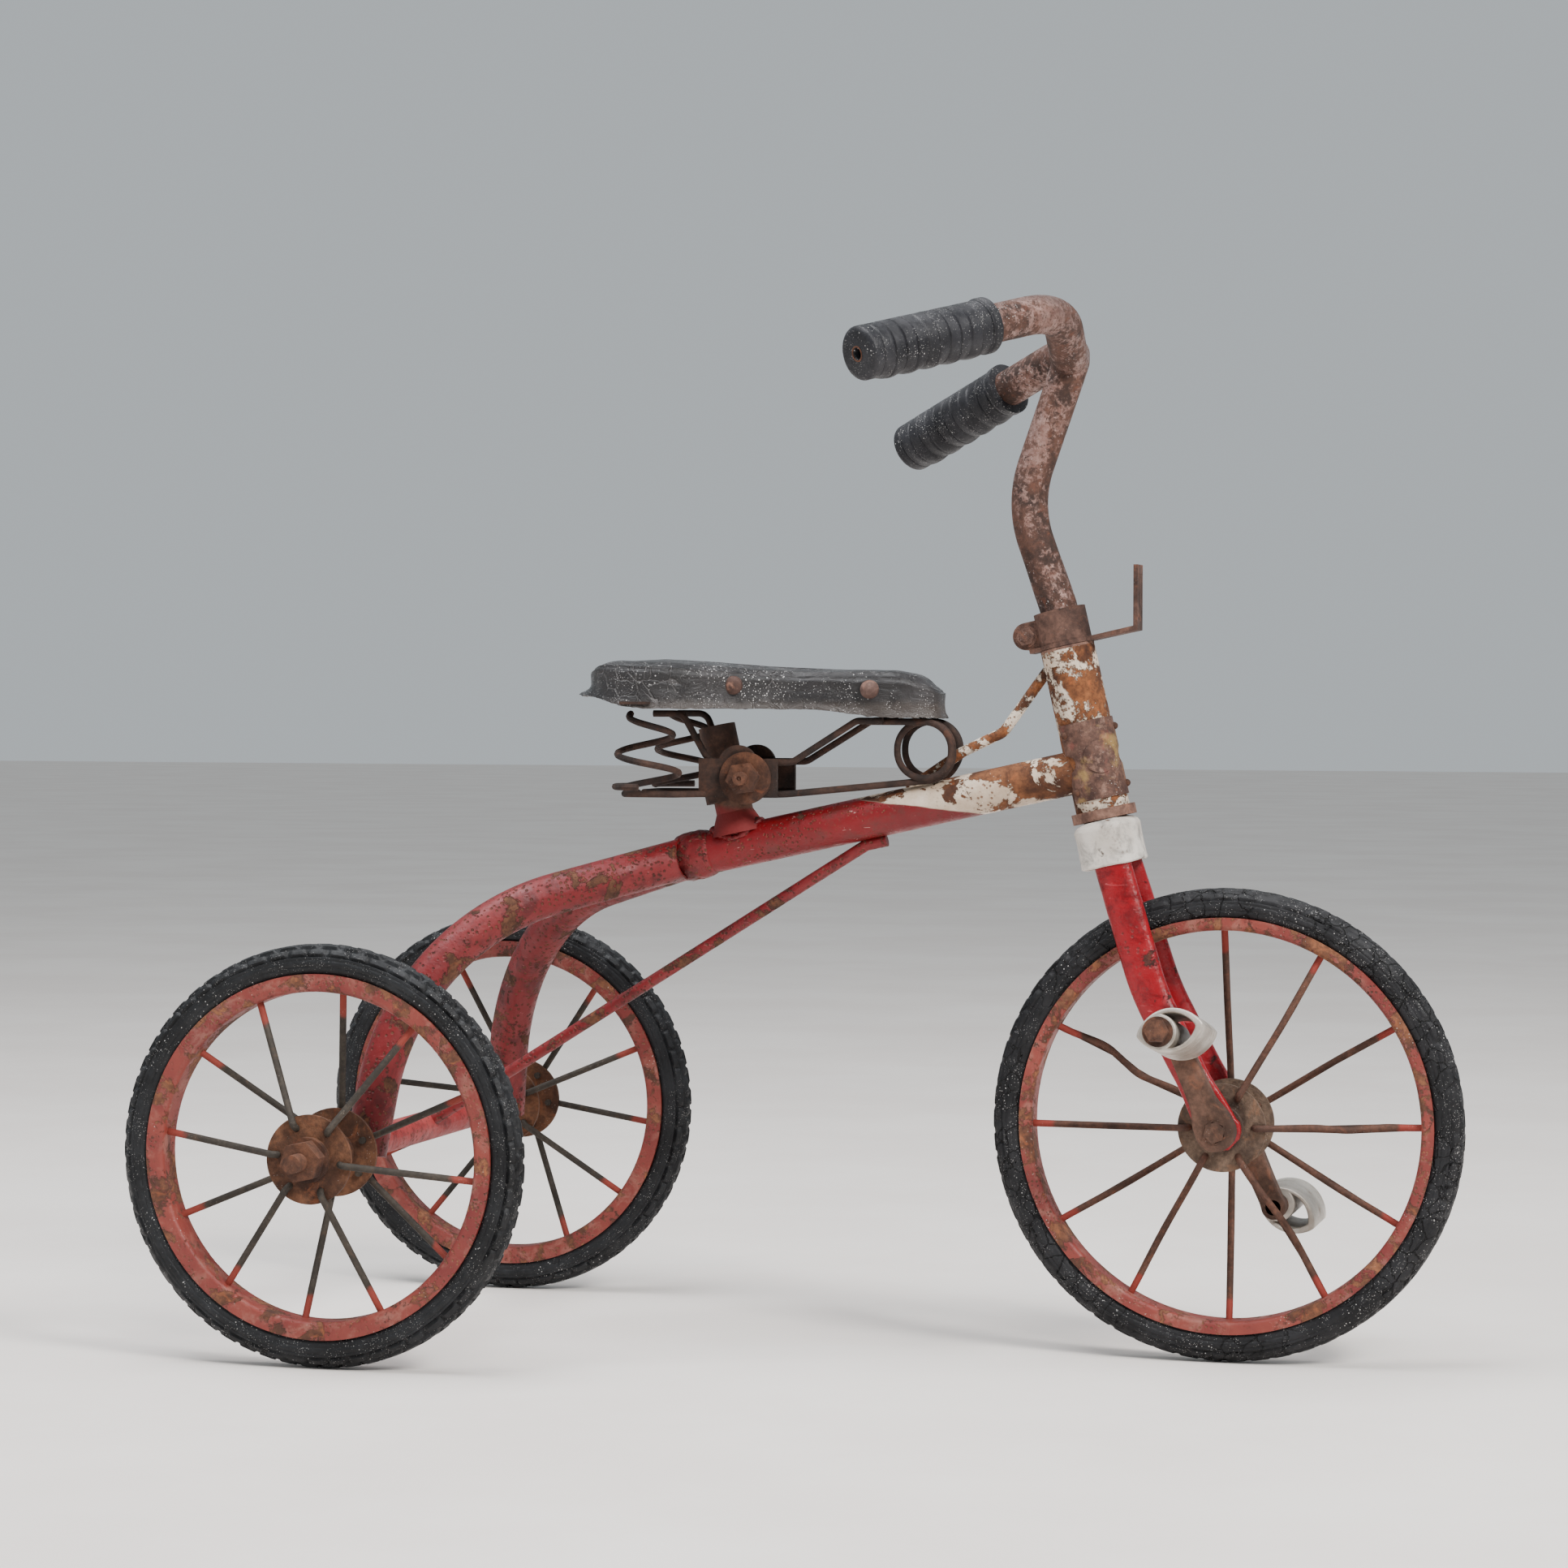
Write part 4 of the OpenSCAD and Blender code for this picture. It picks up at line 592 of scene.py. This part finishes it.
TAB_MID, CROWN_MID, SPLAY = 0.0269, 0.017, 0.007
FOOT, RISE = math.radians(28), math.radians(17.3)
for side, label in ((-1, "right"), (1, "left")):
    foot_way = Vector((-math.sin(FOOT), 0, math.cos(FOOT)))
    axle = Vector((FRONT_X, side * TAB_MID, FRONT_R))
    knee = Vector((FRONT_X, 0, FRONT_R)) + foot_way * 0.088 + LEFT * side * (CROWN_MID + SPLAY)
    climb = 0.306 - knee.z
    head = knee + Vector((-climb * math.tan(RISE), -side * SPLAY, climb))
    path = spaced(rounded([axle - foot_way * 0.0128, axle + foot_way * 0.026, knee, head], [0.1, 0.14], 10), 0.003)
    low = path[0]

    def section(i, n):
        s = (path[i] - low).length
        wide = 0.0235 / 2 + 0.0012 * smooth_step(s, 0.02, 0.12)
        if s < 0.0125:
            wide = math.sqrt(max(1e-8, 0.0128**2 - (0.0128 - s) ** 2))
        wide -= 0.0022 * smooth_step(s, 0.012, 0.05)
        thick = 0.003 + 0.0024 * smooth_step(s, 0.02, 0.075)
        power = 0.35 + 0.5 * smooth_step(s, 0.02, 0.07)
        dent = 0.0003 * noise.noise(path[i] * 55)
        return ring(wide + dent, thick + dent, 40, power)

    points, faces = sweep(path, section, LEFT)
    blade = piece(f"blade_tube_{label}", points, faces, "fork_paint", "fork")
    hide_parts(f"blade_{label}")

COLLAR_LOW = 0.2947
COLLAR_COLS = 96


def collar_ring(grow):
    """One ring of the collar: a rounded oblong with six slight flats."""
    pairs = []
    for k, (a, b) in enumerate(ring(0.0183 + grow, 0.0257 + grow, COLLAR_COLS, 0.72)):
        w = 2 * math.pi * k / COLLAR_COLS
        facet = 1 + 0.016 * math.cos(6 * w + 0.5)
        pairs.append((a * facet, b * facet))
    return pairs


outline = [(0.008, -0.0025), (0.0002, -0.0023), (0.0, -0.0004), (0.0008, 0.0004)]
outline += [(0.0008 + 0.0215 * k / 14, 0.0004 - 0.0003 * math.sin(math.pi * k / 14)) for k in range(1, 15)]
outline += [(0.0243, -0.0006), (0.0258, -0.003), (0.0268, -0.0062)]
levels = [(height, collar_ring(grow)) for height, grow in outline]
points = [on_axis(COLLAR_LOW + s) + AHEAD * a + LEFT * b for s, pairs in levels for a, b in pairs]
for i, p in enumerate(points):
    if i < 4 * COLLAR_COLS:
        points[i] = p + STEER * 0.0009 * noise.noise(p * 90)
    points[i] = points[i] + (p - on_axis(0.308)).normalized() * 0.0005 * noise.noise(p * 70)
top_ring = (len(levels) - 1) * COLLAR_COLS
faces = grid_faces(len(levels), COLLAR_COLS)
faces += [tuple(range(top_ring, top_ring + COLLAR_COLS)), tuple(range(COLLAR_COLS - 1, -1, -1))]
collar = piece("collar_shell", points, faces, "collar_paint", "fork", 30)
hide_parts("fork_collar")

# ---------- stem: a tube with soft flats, bent back and then forward ----------
stem_foot = on_axis(0.4468 - 0.052)
leave = on_axis(0.4488)
bend = on_axis(0.498 / math.cos(RAKE)) - Vector((0.0075, 0, 0))
bar_at = bend + Vector((math.tan(math.radians(19)), 0, 1)) * 0.081
path = spaced(rounded([stem_foot, leave, bend, bar_at], [0.06, 0.068], 16), 0.003)


def stem_section(i, n):
    flat = smooth_step(path[i].z, 0.445, 0.47)
    pairs = []
    for k in range(48):
        w = 2 * math.pi * k / 48
        facet = 0.0111 * (1 - flat * 0.045 * abs(math.sin(4 * w + 0.9)) + flat * 0.01)
        pairs.append((facet * math.cos(w), facet * math.sin(w)))
    return pairs


points, faces = sweep(path, stem_section, LEFT)
stem = piece("stem_tube", points, faces, "plating", "handlebar", 24)
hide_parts("stem")


# ---------- grips ----------
def axis_of(node):
    """Centre line of a long round CAD node: (end nearer the stem, direction, length)."""
    pts = np.array([v.co[:] for v in nodes[node].data.vertices])
    mid = pts.mean(axis=0)
    way = np.linalg.svd(pts - mid)[2][0]
    if way[0] > 0:
        way = -way
    along = (pts - mid) @ way
    rest = pts - mid - np.outer(along, way)
    low, high = along.min(), along.max()
    caps = [rest[np.abs(along - e) < 0.0004].mean(axis=0) for e in (low, high)]
    start, stop = Vector(mid + way * low + caps[0]), Vector(mid + way * high + caps[1])
    return start, (stop - start).normalized(), (stop - start).length


for side, label in ((-1, "right"), (1, "left")):
    start, way, length = axis_of(f"grip_{label}")
    across = way.cross(Vector((0, 0, 1))).normalized()
    below = across.cross(way).normalized()
    if below.z > 0:
        below = -below
    rings_count, cols = 150, 72
    levels = [(0.0, ring(0.0112, 0.0112, cols))]
    for i in range(rings_count + 1):
        t = i / rings_count
        s = t * (length - 0.0006)
        pairs = []
        pitch = (length - 0.014) / 10
        phase = ((s - 0.006) / pitch) % 1
        groove = 0.0
        if 0.006 < s < length - 0.007:
            groove = smooth_step(abs(phase - 0.5), 0.4, 0.49)
        lobe_phase = (s - 0.008) / ((length - 0.018) / 5)
        end_round = 0.0028 * (1 - math.sqrt(max(0.0, 1 - smooth_step(s, length - 0.0035, length) ** 2)))
        for k in range(cols):
            w = 2 * math.pi * k / cols
            under = max(0.0, math.sin(w)) ** 2
            lobe = under * 0.0014 * abs(math.sin(math.pi * lobe_phase)) if 0 < lobe_phase < 5 else 0.0
            radius = 0.0152 - 0.00075 * groove * (1 - 0.6 * under) + lobe - end_round
            if s < 0.005:
                radius += 0.0009 * smooth_step(0.005 - s, 0.0, 0.001)
            radius += 0.00012 * noise.noise((start + way * s) * 160 + Vector((w, 0, 0)))
            pairs.append((radius * math.cos(w), radius * math.sin(w)))
        levels.append((s, pairs))
    end_face = [(0.0, 0.0118), (0.0, 0.0037), (-0.0006, 0.0032), (-0.006, 0.0031)]
    levels += [(length + s, ring(r, r, cols)) for s, r in end_face]
    grip = stack(f"grip_cover_{label}", start, way, across, below, levels, "grip", "grip_rubber", "handlebar")
    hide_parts(f"grip_{label}")
    edge = [(0.0001, 0.0045), (0.00035, 0.0041), (0.0002, 0.0036), (-0.002, 0.0034)]
    levels = [(length + s, ring(r, r, 32)) for s, r in edge]
    hole_name = f"grip_hole_rust_{label}"
    stack(hole_name, start, way, across, below, levels, "rust", "rusty_steel", "handlebar", False)

# ---------- saddle ----------
NOSE, LEN, WIDE, NARROW, TOP, WALL = 0.071, 0.212, 0.150, 0.056, 0.4055, 0.025
BACK = NOSE - LEN


def ramp(t):
    return smooth_step(t, 0.0, 1.0)


def half_width(x):
    return NARROW / 2 + (WIDE - NARROW) / 2 * ramp((0.62 - (x - BACK) / LEN) / 0.5)


def top_z(x):
    t = (x - BACK) / LEN
    nose, tail = max(0.0, (t - 0.85) / 0.15), max(0.0, (0.07 - t) / 0.07)
    return TOP - 0.006 * ramp((t - 0.15) / 0.5) - 0.008 * nose**2 - 0.006 * tail**2


def low_z(x):
    t = (x - BACK) / LEN
    return TOP - WALL - 0.003 - 0.005 * ramp((t - 0.6) / 0.3) + 0.008 * ramp((0.22 - t) / 0.22)


def saddle_ring(k, inset, drop, cols):
    """k 0 to 1 climbs the side wall, and 1 to 2 crosses the top."""
    out = []
    mid = (NOSE + BACK) / 2
    for j in range(cols):
        a = 2 * math.pi * j / cols
        c, s = math.cos(a), math.sin(a)
        x = mid + math.copysign(abs(c) ** 0.8, c) * (LEN / 2 - inset)
        y = math.copysign(abs(s) ** 0.62, s) * (half_width(x) - inset)
        over = max(0.0, k - 1)
        up = min(1.0, k)
        shrink_x, shrink_y = 1 - 0.62 * over, 1 - 0.93 * over
        px, py = mid + (x - mid) * shrink_x, y * shrink_y
        crown = smooth_step(over, 0.0, 0.22)
        soft = 0.0022 * smooth_step(up, 0.75, 1.0) * (1 - crown)
        tall = top_z(px) - low_z(px)
        z = low_z(px) + tall * up - drop * up - 0.003 * (1 - crown) * smooth_step(up, 0.7, 1)
        lip = 0.0012 * smooth_step(up, 0.16, 0.0) - 0.0008 * math.sin(math.pi * up)
        tail = 0.006 * smooth_step(c, -0.86, -1.0) * smooth_step(up, 0.35, 0.0)
        reach = Vector((c, s, 0)).normalized()
        p = Vector((px, py, z)) + reach * (lip - soft) - Vector((tail, 0, 0))
        sag = 0.0012 * smooth_step(over, 0.2, 0.8) * (1 if inset == 0 else 0)
        wave = 0.0009 * noise.noise(p * 38) + 0.0004 * noise.noise(p * 110)
        p += reach * wave * (1 - over) + Vector((0, 0, wave * 0.8 + sag))
        if k == 0:
            p.z += 0.0009 * noise.noise(Vector((a * 22, inset * 80, 3)))
            p.z -= 0.0006 * max(0.0, noise.noise(Vector((a * 60, 7, 1))))
        out.append(p)
    return out


cols = 260
climb = [i / 14 for i in range(15)] + [1 + (i / 24) for i in range(1, 25)]
outer = [saddle_ring(k, 0.0, 0.0, cols) for k in climb]
inner = [saddle_ring(k, 0.003, 0.003, cols) for k in reversed(climb)]
rings_all = outer + inner
points = [p for row in rings_all for p in row]
faces = []
for i in range(len(rings_all)):
    if i == len(outer) - 1:
        continue
    a, b = i * cols, ((i + 1) % len(rings_all)) * cols
    faces += [(a + j, a + (j + 1) % cols, b + (j + 1) % cols, b + j) for j in range(cols)]
for start_row in (len(outer) - 1, len(outer)):
    centre = len(points)
    points.append(sum(rings_all[start_row], Vector()) / cols)
    a = start_row * cols
    faces += [(a + j, a + (j + 1) % cols, centre) for j in range(cols)]
cover = piece("saddle_skin", points, faces, "leather", "saddle_top", 55)
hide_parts("saddle_cover")


# ---------- flat plates, cranks and pedals ----------
def plate(name, loops, origin, ex, ey, thick, bevel, finish, slot, body, smooth=35):
    """A plate with rounded edges from closed outlines, centred on origin, thick along ex x ey."""
    data = bpy.data.curves.new(name, "CURVE")
    data.dimensions = "2D"
    data.fill_mode = "BOTH"
    data.extrude = thick / 2 - bevel
    data.bevel_depth = bevel
    data.bevel_resolution = 3
    data.offset = -bevel
    for loop in loops:
        line = data.splines.new("POLY")
        line.points.add(len(loop) - 1)
        for point, (x, y) in zip(line.points, loop):
            point.co = (x, y, 0, 1)
        line.use_cyclic_u = True
    shell = bpy.data.objects.new(name + "_curve", data)
    bpy.context.scene.collection.objects.link(shell)
    mesh = bpy.data.meshes.new_from_object(shell.evaluated_get(bpy.context.evaluated_depsgraph_get()))
    ez = ex.cross(ey)
    points = [origin + ex * v.co.x + ey * v.co.y + ez * v.co.z for v in mesh.vertices]
    faces = [tuple(f.vertices) for f in mesh.polygons]
    bpy.data.objects.remove(shell)
    return piece(name, points, faces, finish, body, smooth)


def circle(r, n, cx=0.0, cy=0.0):
    return [(cx + r * math.cos(2 * math.pi * k / n), cy + r * math.sin(2 * math.pi * k / n)) for k in range(n)]


CRANK_LEN, CRANK_LEAN = 0.056, math.radians(24)
CRANK_IN, CRANK_T = 0.0319, 0.012


def arm_half(s):
    boss = math.sqrt(max(0.0, 0.0114**2 - s * s)) if s < 0.0114 else 0.0
    tip = math.sqrt(max(0.0, 0.0073**2 - (s - CRANK_LEN) ** 2)) if abs(s - CRANK_LEN) < 0.0073 else 0.0
    neck = 0.0078 - 0.0012 * smooth_step(s, 0.0, 0.05) + 0.0034 * smooth_step(s, 0.02, 0.004)
    inside = neck if 0 < s < CRANK_LEN else 0.0
    return max(boss, tip, inside)


stations = [-0.0114 * math.cos(math.pi / 2 * k / 12) for k in range(12)]
stations += [CRANK_LEN * k / 40 for k in range(41)]
stations += [CRANK_LEN + 0.0073 * math.sin(math.pi / 2 * k / 10) for k in range(1, 11)]
outline = [(s, arm_half(s)) for s in stations] + [(s, -arm_half(s)) for s in reversed(stations[1:-1])]
for side, label in ((-1, "right"), (1, "left")):
    arm_way = Vector((-math.sin(CRANK_LEAN), 0, math.cos(CRANK_LEAN))) * -side
    middle = Vector((FRONT_X, side * (CRANK_IN + CRANK_T / 2), FRONT_R))
    across = LEFT.cross(arm_way)
    steel = ("crank", "rusty_steel", "front_wheel")
    arm = plate(f"crank_arm_{label}", [outline], middle, arm_way, across, CRANK_T, 0.0016, *steel)
    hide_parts(f"crank_{label}")
    lug = middle + LEFT * side * (CRANK_T / 2 - 0.0004)
    corners = [math.radians(60 * k + 15) for k in range(6)]
    hexagon = [(0.0072 * math.cos(w), 0.0072 * math.sin(w)) for w in corners]
    hollow = [(x * 0.84, y * 0.84) for x, y in reversed(hexagon)]
    plate(f"crank_hex_{label}", [hexagon, hollow], lug, arm_way, across, 0.002, 0.0003, *steel)


# The pedals' section is a lens with pointed ends, round a barrel that the spindle runs in.
def box_of(node):
    """Middle and three directions of a CAD node, longest first, each with its half length."""
    pts = np.array([v.co[:] for v in nodes[node].data.vertices])
    mean = pts.mean(axis=0)
    ways = np.linalg.svd(pts - mean)[2]
    spans = [(((pts - mean) @ w).min(), ((pts - mean) @ w).max(), w) for w in ways]
    spans.sort(key=lambda s: s[0] - s[1])
    middle = mean + sum(w * (low + high) / 2 for low, high, w in spans)
    return Vector(middle), [Vector(w) for _, _, w in spans], [(high - low) / 2 for low, high, _ in spans]


def lens(half_w, half_h, n, power=0.72):
    out = []
    for k in range(n):
        w = 2 * math.pi * k / n
        x = half_w * math.cos(w)
        rise = half_h * max(0.0, 1 - (x / half_w) ** 2) ** power
        out.append((x, math.copysign(rise, math.sin(w))))
    return out


def window(half_w, half_h, barrel, at, way):
    """The opening between the barrel, which stands at one side, and one pointed end."""
    rim_line = [(half_w * k / 60, half_h * max(0.0, 1 - (k / 60) ** 2) ** 0.72) for k in range(-60, 61)]
    free = [(way * x, y) for x, y in rim_line if math.hypot(way * x - at, y) > barrel and way * (way * x - at) > 0]
    if not free:
        return []
    free.sort(key=lambda p: way * p[0])
    x0, y0 = free[0]
    a0 = math.atan2(y0, way * (x0 - at))
    back = [a0 - 2 * a0 * k / 14 for k in range(13, 0, -1)]
    inner = [(at + way * barrel * math.cos(a), barrel * math.sin(a)) for a in back]
    return free + [(x, -y) for x, y in reversed(free[:-1])] + inner


SPINDLE_AT = {"right": Vector((0.21597, -0.0439, 0.18866)), "left": Vector((0.26153, 0.0439, 0.08634))}
for side, label in ((-1, "right"), (1, "left")):
    middle, (long_way, wide_way, high_way), (half_len, half_wide, half_high) = box_of(f"pedal_{label}")
    shift = (SPINDLE_AT[label] - middle).dot(wide_way)
    high_way = long_way.cross(wide_way)
    barrel = half_high - 0.0022
    loops = [lens(half_wide, half_high * 0.99, 96)]
    windows = [window(half_wide - 0.0045, half_high - 0.0026, barrel, shift, way) for way in (-1, 1)]
    loops += [w for w in windows if len(w) > 20]
    loops += [list(reversed(circle(0.0049, 32, shift)))]
    cast = ("alloy", "pedal_alloy", f"pedal_{label}", 40)
    wing = plate(f"pedal_wing_{label}", loops, middle, wide_way, high_way, 2 * half_len, 0.0011, *cast)
    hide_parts(f"pedal_{label}")

# Old spokes aren't straight: two of the front ones are bent, the others only a little.
wire = nodes["front_spokes"].data.copy()
bm = bmesh.new()
bm.from_mesh(wire)
for _ in range(6):
    long_edges = [e for e in bm.edges if e.calc_length() > 0.0045]
    if not long_edges:
        break
    bmesh.ops.subdivide_edges(bm, edges=long_edges, cuts=1)
for v in bm.verts:
    flat = Vector((v.co.x - FRONT_X, 0, v.co.z - FRONT_R))
    reach = flat.length
    turn_at = math.degrees(math.atan2(flat.z, flat.x)) % 360
    spoke = round((turn_at - 1) / 30) % 12
    k = min(1.0, max(0.0, (reach - 0.03) / 0.084))
    hold = math.sin(math.pi * k) ** 2 if 0 < k < 1 else 0.0
    across = Vector((-flat.z, 0, flat.x)).normalized()
    worst = {5: 0.0042 * math.sin(2 * math.pi * k), 0: 0.0012 * math.sin(3 * math.pi * k), 10: 0.003}
    bend_by = worst.get(spoke, 0.0008 * math.sin(spoke * 2.1))
    v.co += across * bend_by * hold + LEFT * 0.0008 * math.sin(spoke * 1.7) * hold
    v.co += Vector((1, 1, 1)) * 0.00012 * noise.noise(v.co * 150)
bm.to_mesh(wire)
bm.free()
bent = bpy.data.objects.new("front_spokes_bent", wire)
bpy.context.scene.collection.objects.link(bent)
wire.materials.clear()
wire.materials.append(look["spokes_front"])
wire.shade_smooth()
wire.set_sharp_from_angle(angle=math.radians(50))
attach(bent, "front_wheel")
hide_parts("front_spokes")


POST_FOOT = Vector((-0.053, 0, 0.3076 - 0.053 * math.tan(math.radians(12.6))))


# ---------- welds ----------
def weld(name, curve, size, finish, body, lump=0.5):
    """A lumpy bead of weld along a closed or open line of points."""
    path = spaced(curve, size * 0.5)

    def section(i, n):
        swell = 1 + lump * noise.noise(path[i] * 420) + 0.3 * lump * noise.noise(path[i] * 1100)
        return ring(size * swell, size * swell * 0.9, 12)

    points, faces = sweep(path, section, Vector((0.31, 0.2, 0.93)))
    return piece(name, points, faces, finish, body, 60)


MAIN_WAY = Vector((math.cos(math.radians(12.6)), 0, math.sin(math.radians(12.6))))


def main_at(x):
    return Vector((x, 0, 0.3076 + x * math.tan(math.radians(12.6))))


def round_main(radius, w):
    return LEFT * math.cos(w) * radius + MAIN_WAY.cross(LEFT) * -math.sin(w) * radius


line = []
for k in range(73):
    offset = round_main(0.0129, 2 * math.pi * k / 72)
    s = 0.2
    for step_size in (0.01, 0.001, 0.0001):
        while True:
            p = main_at(0) + MAIN_WAY * s + offset
            gap = p - on_axis(0)
            if (gap - STEER * gap.dot(STEER)).length < 0.0161:
                break
            s -= -step_size if gap.dot(AHEAD) < 0 else step_size
            if s > 0.3 or s < 0.05:
                break
        s -= step_size
    line.append(main_at(0) + MAIN_WAY * s + offset)
weld("weld_head", line, 0.0017, "rust", "frame", 0.7)

joint_r = box_of("joint_sleeve")[2][0]
swelling = []
for k in range(25):
    t = -1 + 2 * k / 24
    bump = 0.0128 + (joint_r - 0.0128) * (1 - abs(t) ** 2.2) ** 0.6
    row = []
    for m in range(96):
        w = 2 * math.pi * m / 96
        r = bump + 0.0006 * noise.noise(Vector((math.cos(w) * 4, math.sin(w) * 4, t * 3))) * (1 - t * t)
        row.append((r * math.cos(w), r * math.sin(w)))
    swelling.append((t * 0.0105, row))
joint_mid = main_at(-0.082) + MAIN_WAY * 0.001
painted = ("red_paint", "red_paint", "frame", True, 60)
sleeve = stack("joint_swelling", joint_mid, MAIN_WAY, LEFT, MAIN_WAY.cross(LEFT), swelling, *painted)
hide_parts("joint_sleeve")


POST_WAY = Vector((-math.sin(math.radians(12.6)), 0, math.cos(math.radians(12.6))))
line = []
for k in range(61):
    w = 2 * math.pi * k / 60
    x, y = 0.0152 * math.cos(w), 0.0117 * math.sin(w)
    line.append(POST_FOOT + MAIN_WAY * x + LEFT * y + POST_WAY * (math.sqrt(0.0127**2 - y * y) + 0.0002))
weld("weld_post", line, 0.002, "red_paint", "frame", 0.7)

for side, label in ((-1, "right"), (1, "left")):
    foot = Vector((REAR_X, side * 0.118, REAR_R))
    line = []
    for k in range(41):
        w = 2 * math.pi * k / 40
        line.append(foot + Vector((0.0096 * math.cos(w), side * 0.006 * math.sin(w * 0.5), 0.0096 * math.sin(w))))
    weld(f"weld_axle_{label}", line, 0.0014, "rust", "frame", 0.7)

# ---------- floor, light, camera ----------
bpy.ops.mesh.primitive_plane_add(size=40, location=(0, 0, 0))
floor = bpy.context.object
floor.name = "floor"
g = Graph("floor_pale")
tone = g.step(g.noise(3.2, 6, 0.6), 0.3, 0.7)
floor_color = g.mix(tone, (0.78, 0.72, 0.68), (0.84, 0.79, 0.75))
floor.data.materials.append(g.done(floor_color, 0.75, 0.0, [(g.noise(60, 5, 0.6), 0.0003)]))

world = bpy.data.worlds.new("studio")
bpy.context.scene.world = world
world.use_nodes = True
world.node_tree.nodes["Background"].inputs["Color"].default_value = (0.78, 0.84, 0.88, 1)
world.node_tree.nodes["Background"].inputs["Strength"].default_value = 0.62


def lamp(name, place, target, size, power, color):
    data = bpy.data.lights.new(name, "AREA")
    data.size = size
    data.energy = power
    data.color = color
    obj = bpy.data.objects.new(name, data)
    bpy.context.scene.collection.objects.link(obj)
    obj.location = place
    obj.rotation_euler = (Vector(target) - Vector(place)).to_track_quat("-Z", "Y").to_euler()


lamp("key", (2.2, -1.6, 2.4), (0, 0, 0.25), 0.9, 150, (1.0, 0.98, 0.95))
lamp("top", (-0.6, -0.4, 2.6), (0, 0, 0.2), 1.6, 95, (0.97, 0.98, 1.0))
lamp("fill", (-2.2, -2.4, 1.2), (0, 0, 0.25), 1.6, 10, (0.95, 0.98, 1.0))

yaw, pitch, roll = math.radians(15.139), math.radians(-1.192), math.radians(0.179)
forward = Vector((-math.sin(yaw) * math.cos(pitch), math.cos(yaw) * math.cos(pitch), math.sin(pitch)))
right = forward.cross(Vector((0, 0, 1))).normalized()
up = right.cross(forward)
side_way = right * math.cos(roll) + up * math.sin(roll)
top_way = side_way.cross(forward)
camera = bpy.data.cameras.new("photo_view")
camera.lens = 93.17
camera.sensor_width = 36
view = bpy.data.objects.new("photo_view", camera)
bpy.context.scene.collection.objects.link(view)
turn = Matrix((side_way, top_way, -forward)).transposed()
view.matrix_world = Matrix.Translation(Vector((0.6034, -2.3306, 0.3829))) @ turn.to_4x4()
bpy.context.scene.camera = view
